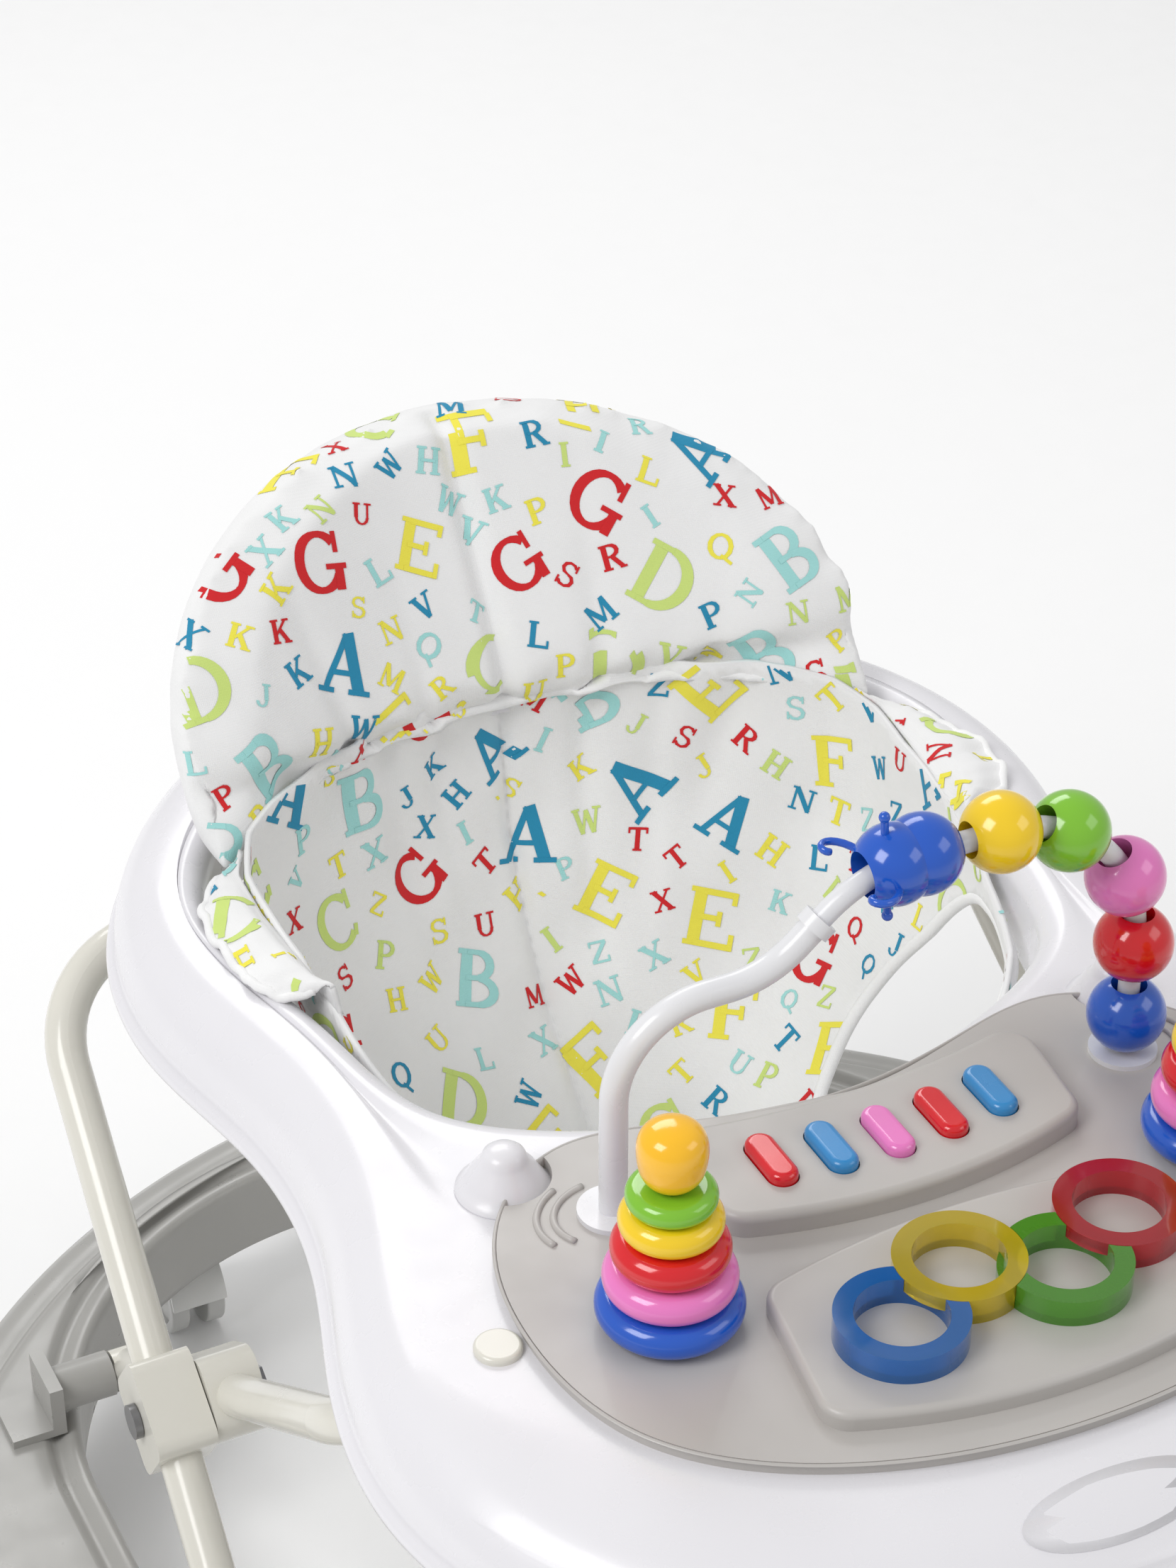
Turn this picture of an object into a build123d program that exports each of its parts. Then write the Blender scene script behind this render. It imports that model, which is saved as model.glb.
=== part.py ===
"""Baby walker with a folding scissor frame, a toy tray, a fabric seat and eight swivel casters.

Millimetres.  +Z is up, the child faces -Y, and the origin is on the floor under the
centre of the round base.  The walker is modelled open, at its standing height.
"""

import os
from math import atan2, cos, degrees, radians, sin, sqrt, tan

from build123d import *

os.makedirs("parts", exist_ok=True)

SIDES = (-1, 1)

# ---------------------------------------------------------------- driving dimensions
# Round base
ring_radius = 337.0
ring_bottom = 49.0
ring_top = 88.0
ring_wall = 3.0
ring_edge_radius = 14.0
ring_land_inset = 20.0
ring_land_height = 3.0
ring_opening_width = 442.0
ring_opening_length = 484.0
ring_opening_corner = 165.0
ring_opening_y = 42.0

# Casters
caster_count = 8
caster_circle = 314.0
caster_first_angle = 22.5
caster_trail = 11.0
wheel_radius = 21.0
wheel_width = 9.0
wheel_gap = 0.5
web_half = 4.0
axle_radius = 2.5
stem_radius = 4.0
stem_length = 24.0
running_clearance = 0.05

# Frame tubes and scissor
tube_radius = 8.5
tube_bore_radius = 7.1
tube_bend = 50.0
fold_angle_open = 36.0
fold_angle_shut = 8.0
lower_arm = 161.0
upper_arm = 192.0
pivot_height = 104.0
rear_pivot_y = 170.0
front_leg_half = 189.0
rear_leg_half_top = 203.0
rear_leg_half_foot = 221.0
pin_radius = 4.0
eye_radius = 9.2
eye_half_width = 7.5
slot_clearance = 0.4
bracket_plate = 6.0
sleeve_length = 40.0
sleeve_depth = 34.0
sleeve_wall = 3.5

# Tray
tray_top = 375.0
tray_skirt = 38.0
tray_wall = 3.5
tray_edge_radius = 16.0
tray_bead = 3.5
cap_x = 160.5
cap_y = -161.0
cap_radius = 8.3
dome_x = 124.0
dome_y = -87.0
dome_radius = 16.0
dome_height = 17.0
opening_edge_radius = 7.0
opening_half_width = 155.0
opening_front_y = -87.0
opening_rear_y = 212.0
opening_widest_y = 115.0

# Toy console
console_height = 5.0
panel_height = 9.0
stage_height = 7.0
key_length = 27.0
key_width = 11.0
key_pitch = 21.8
key_row_y = -135.0
key_stand = 4.0
key_depth = 8.0
key_travel = 2.2
key_clearance = 0.4
key_count = 5

# Play arch and beads
arch_left = 99.0
arch_right = 106.0
arch_y = -121.0
arch_radius = 5.0
arch_rod_radius = 4.0
arch_rise = 118.0
arch_shoulder = 86.0
foot_disc_radius = 12.5
foot_disc_height = 2.0
bead_radius = 14.4
bead_bore = 6.5
head_bore = 8.2
head_pitch = 11.0
bead_gap = 0.6

# Stacking cones
cone_half = 106.0
cone_y = -177.0
cone_post_radius = 4.5
cone_bore_clearance = 0.3
cone_ring_radii = (25.0, 22.5, 20.0, 17.5, 15.2)
cone_ring_heights = (11.6, 11.6, 11.6, 10.8, 8.2)
cone_ring_gap = 0.4
knob_radius = 11.5
knob_half_height = 14.0

# Linked rings
link_outer = 22.5
link_inner = 15.8
link_height = 10.0
link_pitch = 31.0
link_lap_gap = 0.2
link_row_y = -216.0
link_count = 4

# Seat and back
pad_angle = 57.0
pad_half_width = 148.0
pad_height = 140.0
pad_wrap_radius = 266.0
pad_thickness = 24.0
pad_front_y = 172.0
board_inset = 12.0
board_depth = 10.0
board_thickness = 4.0
sling_half_width = 140.0
sling_half_length = 125.0
sling_depth = 185.0
sling_wall = 4.0
sling_y = 55.0
leg_hole_x = 76.0
leg_hole_y = -2.0
leg_hole_half_width = 48.0
leg_hole_half_length = 60.0

# ---------------------------------------------------------------- places worked out from them
fold = radians(fold_angle_open)
shut = radians(fold_angle_shut)
land_top = ring_top + ring_land_height
front_pivot_y = rear_pivot_y - 2 * lower_arm * cos(fold)
cross_y = rear_pivot_y - lower_arm * cos(fold)
cross_z = pivot_height + lower_arm * sin(fold)
bar_z = cross_z + upper_arm * sin(fold)
rear_bar_y = cross_y + upper_arm * cos(fold)
front_bar_y = cross_y - upper_arm * cos(fold)
foot_travel = 2 * lower_arm * (cos(shut) - cos(fold))
bar_travel = 2 * upper_arm * (cos(shut) - cos(fold))
arm_length = lower_arm + upper_arm
splay = rear_leg_half_foot - rear_leg_half_top
rear_leg_half_cross = rear_leg_half_top + splay * upper_arm / arm_length
skirt_bottom = tray_top - tray_skirt
cavity_roof = tray_top - tray_wall
stage_top = tray_top + console_height
panel_top = stage_top + panel_height
platform_top = stage_top + stage_height


def ring_opening_half_width(y):
    """Half-width of the base opening at a distance y fore or aft of the origin."""
    beyond = abs(y - ring_opening_y) - (ring_opening_length / 2 - ring_opening_corner)
    if beyond <= 0:
        return ring_opening_width / 2
    return ring_opening_width / 2 - ring_opening_corner + sqrt(ring_opening_corner**2 - beyond**2)


def mirrored_outline(points, grow=0.0):
    """Smooth closed outline through the points of its +X half, grown about its own centre."""
    front, rear = points[0][1], points[-1][1]
    centre = (front + rear) / 2
    across = 1 + grow / max(x for x, y in points)
    along = 1 + grow / abs(rear - centre)
    half = [(x * across, centre + (y - centre) * along) for x, y in points]
    other_half = [(-x, y) for x, y in half[-2:0:-1]]
    with BuildSketch() as outline:
        with BuildLine():
            Spline(*half, *other_half, periodic=True)
        make_face()
    return outline.sketch


def tray_outline(grow=0.0):
    """The tray from above: a broad front, a waist beside the child and a round rear."""
    points = (
        (0, -336),
        (105, -317),
        (180, -262),
        (211, -190),
        (206, -125),
        (187, -60),
        (184, 5),
        (197, 75),
        (188, 150),
        (147, 215),
        (80, 262),
        (0, 277),
    )
    return mirrored_outline(points, grow)


def seat_outline(grow=0.0):
    """Egg-shaped seat opening."""
    points = (
        (0, opening_front_y),
        (80, -67),
        (124, -36),
        (142, 30),
        (opening_half_width, opening_widest_y),
        (112, 183),
        (0, opening_rear_y),
    )
    return mirrored_outline(points, grow)


def console_outline():
    """Outline of the toy console: an arch along the seat and a round front."""
    points = (
        (0, -98),
        (58, -88),
        (100, -82),
        (134, -106),
        (151, -165),
        (137, -222),
        (85, -261),
        (0, -277),
    )
    return mirrored_outline(points)


# ---------------------------------------------------------------- base
def caster_place(number):
    """Centre of a caster's swivel on the base."""
    angle = radians(caster_first_angle + 360.0 * number / caster_count)
    return caster_circle * cos(angle), caster_circle * sin(angle)


with BuildPart() as ring_cavity:
    with BuildSketch(Plane.XY.offset(ring_bottom)):
        Circle(ring_radius - ring_wall)
        with Locations((0, ring_opening_y)):
            RectangleRounded(
                ring_opening_width + 2 * ring_wall,
                ring_opening_length + 2 * ring_wall,
                ring_opening_corner + ring_wall,
                mode=Mode.SUBTRACT,
            )
    extrude(amount=ring_top - ring_bottom - ring_wall)
    fillet(ring_cavity.edges().group_by(Axis.Z)[-1], ring_edge_radius - ring_wall)

with BuildPart() as base_ring:
    with BuildSketch(Plane.XY.offset(ring_bottom)):
        Circle(ring_radius)
        with Locations((0, ring_opening_y)):
            RectangleRounded(
                ring_opening_width, ring_opening_length, ring_opening_corner, mode=Mode.SUBTRACT
            )
    extrude(amount=ring_top - ring_bottom)
    fillet(base_ring.edges().group_by(Axis.Z)[-1], ring_edge_radius)
    with BuildSketch(Plane.XY.offset(ring_top - ring_wall)):
        Circle(ring_radius - ring_land_inset)
        with Locations((0, ring_opening_y)):
            RectangleRounded(
                ring_opening_width + ring_land_inset,
                ring_opening_length + ring_land_inset,
                ring_opening_corner + ring_land_inset / 2,
                mode=Mode.SUBTRACT,
            )
    extrude(amount=ring_wall + ring_land_height)
    add(ring_cavity.part, mode=Mode.SUBTRACT)
    boss_bottom = ring_bottom + 1.5
    with BuildSketch(Plane.XY.offset(boss_bottom)):
        with PolarLocations(caster_circle, caster_count, start_angle=caster_first_angle):
            Circle(stem_radius + 4)
    extrude(amount=ring_top - boss_bottom)
    with BuildSketch(Plane.XY.offset(boss_bottom)):
        with PolarLocations(caster_circle, caster_count, start_angle=caster_first_angle):
            Circle(stem_radius + running_clearance)
    extrude(amount=stem_length + 1, mode=Mode.SUBTRACT)
base_ring.part.label = "base_ring"
export_step(base_ring.part, "parts/base_ring.step")


# ---------------------------------------------------------------- casters
hood_half = web_half + wheel_gap + wheel_width
hood_radius = wheel_radius + 3.5
hood_skin = 2.0
collar_top = boss_bottom - 0.5

for number in range(caster_count):
    swivel_x, swivel_y = caster_place(number)
    side_plane = Plane(
        origin=(swivel_x - hood_half, swivel_y + caster_trail, wheel_radius),
        x_dir=(0, 1, 0),
        z_dir=(1, 0, 0),
    )
    floor_plane = Plane(origin=(swivel_x, swivel_y, 0))

    with BuildPart() as caster_fork:
        with BuildSketch(side_plane):
            Circle(hood_radius)
            with Locations((0, -hood_radius + 5)):
                Rectangle(4 * hood_radius, 2 * hood_radius, mode=Mode.SUBTRACT)
        extrude(amount=2 * hood_half)
        for start in (0, hood_half + web_half):
            with BuildSketch(side_plane.offset(start)):
                Circle(hood_radius - hood_skin)
            extrude(amount=hood_half - web_half, mode=Mode.SUBTRACT)
        with BuildSketch(side_plane.offset(hood_half - web_half)):
            Circle(9)
            with Locations((0, 9)):
                Rectangle(18, 18)
        extrude(amount=2 * web_half)
        with BuildSketch(side_plane.offset(1)):
            Circle(axle_radius)
        extrude(amount=2 * hood_half - 2)
        with BuildSketch(floor_plane.offset(wheel_radius + 16)):
            Circle(stem_radius)
        extrude(amount=boss_bottom + stem_length - wheel_radius - 16)
        with BuildSketch(floor_plane.offset(wheel_radius + hood_radius - 3)):
            Circle(stem_radius + 4)
        extrude(amount=collar_top - wheel_radius - hood_radius + 3)
    caster_fork.part.label = f"caster_fork_{number + 1}"
    export_step(caster_fork.part, f"parts/caster_fork_{number + 1}.step")

    with BuildPart() as caster_wheels:
        for start in (0, hood_half + web_half + wheel_gap):
            with BuildSketch(side_plane.offset(start)):
                Circle(wheel_radius)
            extrude(amount=wheel_width)
        fillet(caster_wheels.edges().filter_by(GeomType.CIRCLE), 1.2)
        with BuildSketch(side_plane):
            Circle(wheel_radius - 5)
            Circle(6, mode=Mode.SUBTRACT)
        extrude(amount=2.5, mode=Mode.SUBTRACT)
        with BuildSketch(side_plane.offset(2 * hood_half - 2.5)):
            Circle(wheel_radius - 5)
            Circle(6, mode=Mode.SUBTRACT)
        extrude(amount=2.5, mode=Mode.SUBTRACT)
        with BuildSketch(side_plane):
            Circle(axle_radius + running_clearance)
        extrude(amount=2 * hood_half, mode=Mode.SUBTRACT)
    caster_wheels.part.label = f"caster_wheels_{number + 1}"
    export_step(caster_wheels.part, f"parts/caster_wheels_{number + 1}.step")


# ---------------------------------------------------------------- folding frame
def leg_plane(bar_y, forwards):
    """Plane of a U-shaped leg frame: x across, y up along the legs, centred on its bar."""
    return Plane(
        origin=(0, bar_y, bar_z),
        x_dir=(1, 0, 0),
        z_dir=(0, sin(fold) * forwards, cos(fold)),
    )


with BuildPart() as rear_leg_frame:
    with BuildLine(leg_plane(rear_bar_y, -1)) as rear_route:
        FilletPolyline(
            (-rear_leg_half_foot, -arm_length),
            (-rear_leg_half_top, 0),
            (rear_leg_half_top, 0),
            (rear_leg_half_foot, -arm_length),
            radius=tube_bend,
        )
    with BuildSketch(Plane(origin=rear_route.line @ 0, z_dir=rear_route.line % 0)):
        Circle(tube_radius)
        Circle(tube_bore_radius, mode=Mode.SUBTRACT)
    sweep()
    for side in SIDES:
        foot = Plane(
            origin=(side * rear_leg_half_foot, front_pivot_y, pivot_height),
            z_dir=(side, 0, 0),
        )
        with BuildSketch(foot):
            Circle(eye_radius)
        extrude(amount=eye_half_width, both=True)
        with BuildSketch(foot):
            Circle(pin_radius)
        extrude(amount=tube_radius + bracket_plate + 4)
        cross = Plane(origin=(side * 150, cross_y, cross_z), z_dir=(side, 0, 0))
        with BuildSketch(cross):
            Circle(pin_radius + running_clearance)
        extrude(amount=100, mode=Mode.SUBTRACT)
rear_leg_frame.part.label = "rear_leg_frame"
export_step(rear_leg_frame.part, "parts/rear_leg_frame.step")

with BuildPart() as front_leg_frame:
    with BuildLine(leg_plane(front_bar_y, 1)) as front_route:
        FilletPolyline(
            (-front_leg_half, arm_length),
            (-front_leg_half, 0),
            (front_leg_half, 0),
            (front_leg_half, arm_length),
            radius=tube_bend,
        )
    with BuildSketch(Plane(origin=front_route.line @ 0, z_dir=front_route.line % 0)):
        Circle(tube_radius)
        Circle(tube_bore_radius, mode=Mode.SUBTRACT)
    sweep()
    for side in SIDES:
        foot = Plane(
            origin=(side * front_leg_half, rear_pivot_y, pivot_height),
            z_dir=(side, 0, 0),
        )
        with BuildSketch(foot):
            Circle(eye_radius)
        extrude(amount=eye_half_width, both=True)
        with BuildSketch(foot):
            Circle(pin_radius + running_clearance)
        extrude(amount=2 * tube_radius, both=True, mode=Mode.SUBTRACT)
        cross = Plane(origin=(side * 150, cross_y, cross_z), z_dir=(side, 0, 0))
        with BuildSketch(cross):
            Circle(pin_radius)
        extrude(amount=100, mode=Mode.SUBTRACT)
front_leg_frame.part.label = "front_leg_frame"
export_step(front_leg_frame.part, "parts/front_leg_frame.step")

with BuildPart() as cross_saddles:
    saddle_inner = front_leg_half - tube_radius - sleeve_wall + 1
    saddle_outer = (front_leg_half + rear_leg_half_cross) / 2 - 0.9
    for side in SIDES:
        across = Plane(
            origin=(side * saddle_inner, cross_y, cross_z),
            x_dir=(0, -cos(fold), sin(fold)),
            z_dir=(side, 0, 0),
        )
        with BuildSketch(across):
            RectangleRounded(sleeve_length, sleeve_depth, sleeve_depth / 3)
            Circle(pin_radius, mode=Mode.SUBTRACT)
        extrude(amount=saddle_outer - saddle_inner)
        along = Plane(
            origin=(side * front_leg_half, cross_y, cross_z), z_dir=(0, -cos(fold), sin(fold))
        )
        with BuildSketch(along.offset(-sleeve_length)):
            Circle(tube_radius)
        extrude(amount=2 * sleeve_length, mode=Mode.SUBTRACT)
cross_saddles.part.label = "cross_saddles"
export_step(cross_saddles.part, "parts/cross_saddles.step")

with BuildPart() as cross_sleeves:
    sleeve_inner = saddle_outer + 0.6
    sleeve_outer = rear_leg_half_cross + tube_radius + sleeve_wall
    for side in SIDES:
        across = Plane(
            origin=(side * sleeve_inner, cross_y, cross_z),
            x_dir=(0, cos(fold), sin(fold)),
            z_dir=(side, 0, 0),
        )
        with BuildSketch(across):
            RectangleRounded(sleeve_length, sleeve_depth, 6)
            Circle(pin_radius + running_clearance, mode=Mode.SUBTRACT)
        extrude(amount=sleeve_outer - sleeve_inner)
        along = Plane(
            origin=(side * rear_leg_half_cross, cross_y, cross_z),
            z_dir=(-side * splay, arm_length * cos(fold), arm_length * sin(fold)),
        )
        with BuildSketch(along.offset(-sleeve_length)):
            Circle(tube_radius)
        extrude(amount=2 * sleeve_length, mode=Mode.SUBTRACT)
cross_sleeves.part.label = "cross_sleeves"
export_step(cross_sleeves.part, "parts/cross_sleeves.step")

with BuildPart() as cross_bolts:
    nut_radius = 7.0
    nut_height = 5.0
    for side in SIDES:
        shank = Plane(origin=(side * (saddle_inner - nut_height), cross_y, cross_z), z_dir=(side, 0, 0))
        with BuildSketch(shank):
            RegularPolygon(nut_radius, 6)
        extrude(amount=nut_height)
        with BuildSketch(shank):
            Circle(pin_radius)
        extrude(amount=sleeve_outer - saddle_inner + nut_height + 1)
        with BuildSketch(shank.offset(sleeve_outer - saddle_inner + nut_height + 0.3)):
            Circle(nut_radius)
        extrude(amount=3)
cross_bolts.part.label = "cross_bolts"
export_step(cross_bolts.part, "parts/cross_bolts.step")

with BuildPart() as front_slide_rails:
    rail_x = rear_leg_half_foot + tube_radius + 1.5
    rail_length = foot_travel + 28
    slot_length = foot_travel + 2 * (pin_radius + slot_clearance)
    rail_mid = front_pivot_y - foot_travel / 2
    for side in SIDES:
        upright = Plane(
            origin=(side * rail_x, rail_mid, pivot_height), x_dir=(0, 1, 0), z_dir=(side, 0, 0)
        )
        rise = pivot_height - land_top
        flip = side
        with BuildSketch(upright):
            with Locations((0, flip * (12 - rise) / 2)):
                Rectangle(rail_length, rise + 12)
            SlotOverall(slot_length, 2 * (pin_radius + slot_clearance), mode=Mode.SUBTRACT)
        extrude(amount=bracket_plate)
        with BuildSketch(Plane.XY.offset(land_top)):
            with Locations((side * (rail_x + 13), rail_mid)):
                Rectangle(26, rail_length)
        extrude(amount=4)
front_slide_rails.part.label = "front_slide_rails"
export_step(front_slide_rails.part, "parts/front_slide_rails.step")

with BuildPart() as rear_pivot_brackets:
    post_x = ring_opening_half_width(rear_pivot_y) + ring_land_inset / 2
    eye_outer = front_leg_half + tube_radius
    eye_inner = front_leg_half - tube_radius
    for side in SIDES:
        with BuildSketch(Plane.XY.offset(land_top)):
            with Locations((side * (post_x + bracket_plate / 2), rear_pivot_y)):
                Rectangle(bracket_plate, 28)
        extrude(amount=pivot_height - land_top + 12)
        with BuildSketch(Plane.XY.offset(land_top)):
            with Locations((side * (post_x + 12), rear_pivot_y)):
                Rectangle(24, 28)
        extrude(amount=4)
        inward = Plane(origin=(side * post_x, rear_pivot_y, pivot_height), z_dir=(-side, 0, 0))
        with BuildSketch(inward):
            Circle(tube_radius + 1.5)
        extrude(amount=post_x - eye_outer - 0.3)
        with BuildSketch(inward):
            Circle(pin_radius)
        extrude(amount=post_x - eye_inner + 2)
        with BuildSketch(inward.offset(post_x - eye_inner + 0.3)):
            Circle(pin_radius + 2.5)
        extrude(amount=3)
rear_pivot_brackets.part.label = "rear_pivot_brackets"
export_step(rear_pivot_brackets.part, "parts/rear_pivot_brackets.step")


# ---------------------------------------------------------------- tray
tongue_x = 55.0
tongue_width = 30.0
tongue_y = 224.0
tongue_thickness = 4.0
tongue_clearance = 0.2

with BuildPart() as tray_cavity:
    with BuildSketch(Plane.XY.offset(skirt_bottom)):
        add(tray_outline(-tray_bead - tray_wall))
    extrude(amount=cavity_roof - skirt_bottom)
    fillet(tray_cavity.edges().group_by(Axis.Z)[-1], tray_edge_radius - tray_wall)
    with BuildSketch(Plane.XY.offset(skirt_bottom)):
        add(seat_outline(tray_wall))
    extrude(amount=cavity_roof - skirt_bottom, mode=Mode.SUBTRACT)

with BuildPart() as tray_shell:
    with BuildSketch(Plane.XY.offset(skirt_bottom)):
        add(tray_outline(-tray_bead))
    extrude(amount=tray_skirt)
    fillet(tray_shell.edges().group_by(Axis.Z)[-1], tray_edge_radius)
    with BuildSketch(Plane.XY.offset(skirt_bottom)):
        add(tray_outline())
    extrude(amount=2 * tray_bead)
    with BuildSketch(Plane.XY.offset(skirt_bottom)):
        add(seat_outline())
    extrude(amount=tray_skirt, mode=Mode.SUBTRACT)
    rim = tray_shell.faces().sort_by(Axis.Z)[-1]
    fillet(rim.inner_wires()[0].edges(), opening_edge_radius)
    add(tray_cavity.part, mode=Mode.SUBTRACT)
    for side in SIDES:
        with BuildSketch(Plane.XY.offset(tray_top - tray_wall)):
            with Locations((side * dome_x, dome_y)):
                Circle(dome_radius)
        extrude(amount=dome_height + tray_wall - 3, taper=32)
        with BuildSketch(Plane.XY.offset(tray_top)):
            with Locations((side * dome_x, dome_y)):
                Circle(4.5)
        extrude(amount=dome_height)
        with BuildSketch(Plane.XY.offset(cavity_roof - 1)):
            with Locations((side * tongue_x, tongue_y)):
                Rectangle(
                    tongue_width + 2 * tongue_clearance, tongue_thickness + 2 * tongue_clearance
                )
        extrude(amount=tray_wall + 2, mode=Mode.SUBTRACT)
tray_shell.part.label = "tray_shell"
export_step(tray_shell.part, "parts/tray_shell.step")

with BuildPart() as tray_caps:
    with BuildSketch(Plane.XY.offset(tray_top)):
        with Locations((-cap_x, cap_y), (cap_x, cap_y)):
            Circle(cap_radius)
    extrude(amount=2.5)
    fillet(tray_caps.edges().group_by(Axis.Z)[-1], 1.5)
tray_caps.part.label = "tray_caps"
export_step(tray_caps.part, "parts/tray_caps.step")

with BuildPart() as tray_bar_brackets:
    bar_wall = 4.0
    block_half = tube_radius + bar_wall
    rear_block_x = 126.0
    rear_block_width = 12.0
    front_block_x = 96.0
    front_block_width = 8.0
    block_height = cavity_roof - bar_z + block_half
    for side in SIDES:
        with BuildSketch(Plane.XY.offset(bar_z - block_half)):
            with Locations((side * rear_block_x, rear_bar_y)):
                Rectangle(rear_block_width, 2 * block_half)
            with Locations((side * front_block_x, front_bar_y - bar_travel / 2)):
                Rectangle(front_block_width, 2 * block_half + bar_travel)
        extrude(amount=block_height)
        rear_side = Plane(origin=(side * 60, rear_bar_y, bar_z), z_dir=(side, 0, 0))
        with BuildSketch(rear_side):
            Circle(tube_radius + running_clearance)
        extrude(amount=100, mode=Mode.SUBTRACT)
        front_side = Plane(
            origin=(side * 60, front_bar_y - bar_travel / 2, bar_z), x_dir=(0, 1, 0), z_dir=(side, 0, 0)
        )
        with BuildSketch(front_side):
            SlotOverall(
                bar_travel + 2 * (tube_radius + slot_clearance), 2 * (tube_radius + slot_clearance)
            )
        extrude(amount=100, mode=Mode.SUBTRACT)
tray_bar_brackets.part.label = "tray_bar_brackets"
export_step(tray_bar_brackets.part, "parts/tray_bar_brackets.step")

with BuildPart() as music_box:
    box_depth = 24.0
    with BuildSketch(Plane.XY.offset(cavity_roof - box_depth)):
        with Locations((0, key_row_y - 20)):
            RectangleRounded(140, 80, 8)
    extrude(amount=box_depth)
    fillet(music_box.edges().group_by(Axis.Z)[0], 3)
music_box.part.label = "music_box"
export_step(music_box.part, "parts/music_box.step")


# ---------------------------------------------------------------- toy console and keys
def key_place(number):
    """Centre of a key: the row bends gently round the child."""
    across = (number - (key_count - 1) / 2) * key_pitch
    return across, key_row_y + 4.0 * (across / (2 * key_pitch)) ** 2


with BuildPart() as toy_console:
    with BuildSketch(Plane.XY.offset(tray_top)):
        add(console_outline())
        with Locations((-dome_x, dome_y), (dome_x, dome_y)):
            Circle(dome_radius + 0.5, mode=Mode.SUBTRACT)
    extrude(amount=console_height)
    with BuildSketch(Plane.XY.offset(stage_top)) as panel_sketch:
        with BuildLine():
            rear_arc = ThreePointArc((-76, -97), (0, -107), (76, -97))
            front_arc = ThreePointArc((-70, -151), (0, -163), (70, -151))
            Line(rear_arc @ 0, front_arc @ 0)
            Line(rear_arc @ 1, front_arc @ 1)
        make_face()
        fillet(panel_sketch.vertices(), 11)
    extrude(amount=panel_height)
    fillet(toy_console.edges().group_by(Axis.Z)[-1], 3)
    with BuildSketch(Plane.XY.offset(stage_top)) as stage_sketch:
        with BuildLine():
            rear_arc = ThreePointArc((-76, -184), (0, -174), (76, -184))
            front_arc = ThreePointArc((-86, -246), (0, -264), (86, -246))
            Line(rear_arc @ 0, front_arc @ 0)
            Line(rear_arc @ 1, front_arc @ 1)
        make_face()
        fillet(stage_sketch.vertices(), 11)
    extrude(amount=stage_height)
    fillet(toy_console.faces().filter_by(Plane.XY).sort_by(Axis.Z)[-2].edges(), 2.5)
    for number in range(key_count):
        with BuildSketch(Plane.XY.offset(panel_top)):
            with Locations(key_place(number)):
                SlotOverall(
                    key_length + 2 * key_clearance, key_width + 2 * key_clearance, rotation=90
                )
        extrude(amount=-(key_depth - key_stand + key_travel + 1), mode=Mode.SUBTRACT)
    with BuildSketch(Plane.XY.offset(stage_top)):
        with Locations((-cone_half, cone_y), (cone_half, cone_y)):
            Circle(cone_post_radius)
    extrude(amount=-4, mode=Mode.SUBTRACT)
toy_console.part.label = "toy_console"
export_step(toy_console.part, "parts/toy_console.step")

for number in range(key_count):
    with BuildPart() as key:
        with BuildSketch(Plane.XY.offset(panel_top + key_stand - key_depth)):
            with Locations(key_place(number)):
                SlotOverall(key_length, key_width, rotation=90)
        extrude(amount=key_depth)
        fillet(key.edges().group_by(Axis.Z)[-1], 2.5)
    key.part.label = f"key_{number + 1}"
    export_step(key.part, f"parts/key_{number + 1}.step")


# ---------------------------------------------------------------- linked rings
def link_place(number):
    """Centre of a linked ring: a zigzag row."""
    across = (number - (link_count - 1) / 2) * link_pitch
    return across, link_row_y + (8.0 if number % 2 else -8.0)


for number in range(link_count):
    with BuildPart() as link_ring:
        with BuildSketch(Plane.XY.offset(platform_top)):
            with Locations(link_place(number)):
                Circle(link_outer)
                Circle(link_inner, mode=Mode.SUBTRACT)
        extrude(amount=link_height)
        lap_level = platform_top + (0 if number % 2 else link_height / 2)
        for neighbour in (number - 1, number + 1):
            if neighbour not in range(link_count):
                continue
            with BuildSketch(Plane.XY.offset(lap_level)):
                with Locations(link_place(neighbour)):
                    Circle(link_outer + link_lap_gap)
            extrude(amount=link_height / 2, mode=Mode.SUBTRACT)
    link_ring.part.label = f"link_ring_{number + 1}"
    export_step(link_ring.part, f"parts/link_ring_{number + 1}.step")


# ---------------------------------------------------------------- play arch and beads
arch_plane = Plane(origin=(0, arch_y, tray_top), x_dir=(1, 0, 0), z_dir=(0, -1, 0))
shoulder_turn = (-42.0, arch_shoulder)
top_turn = (-6.0, arch_rise)
collar_point = ((shoulder_turn[0] + top_turn[0]) / 2, (shoulder_turn[1] + top_turn[1]) / 2)

with BuildPart() as play_arch:
    with BuildLine(arch_plane) as leg_route:
        FilletPolyline(
            (-arch_left, console_height),
            (-arch_left, arch_shoulder),
            shoulder_turn,
            collar_point,
            radius=(34, 38),
        )
    with BuildSketch(Plane(origin=leg_route.line @ 0, z_dir=leg_route.line % 0)):
        Circle(arch_radius)
    sweep()
    with BuildLine(arch_plane) as rod_route:
        FilletPolyline(
            collar_point,
            top_turn,
            (arch_right, arch_rise),
            (arch_right, console_height),
            radius=(54, 62),
        )
    with BuildSketch(Plane(origin=rod_route.line @ 0, z_dir=rod_route.line % 0)):
        Circle(arch_rod_radius)
    sweep()
    with BuildSketch(Plane(origin=rod_route.line @ 0, z_dir=rod_route.line % 0)):
        Circle(arch_radius + 1.5)
    extrude(amount=2.5, both=True)
    with BuildSketch(Plane.XY.offset(stage_top)):
        with Locations((-arch_left, arch_y), (arch_right, arch_y)):
            Circle(foot_disc_radius)
    extrude(amount=foot_disc_height)
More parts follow.
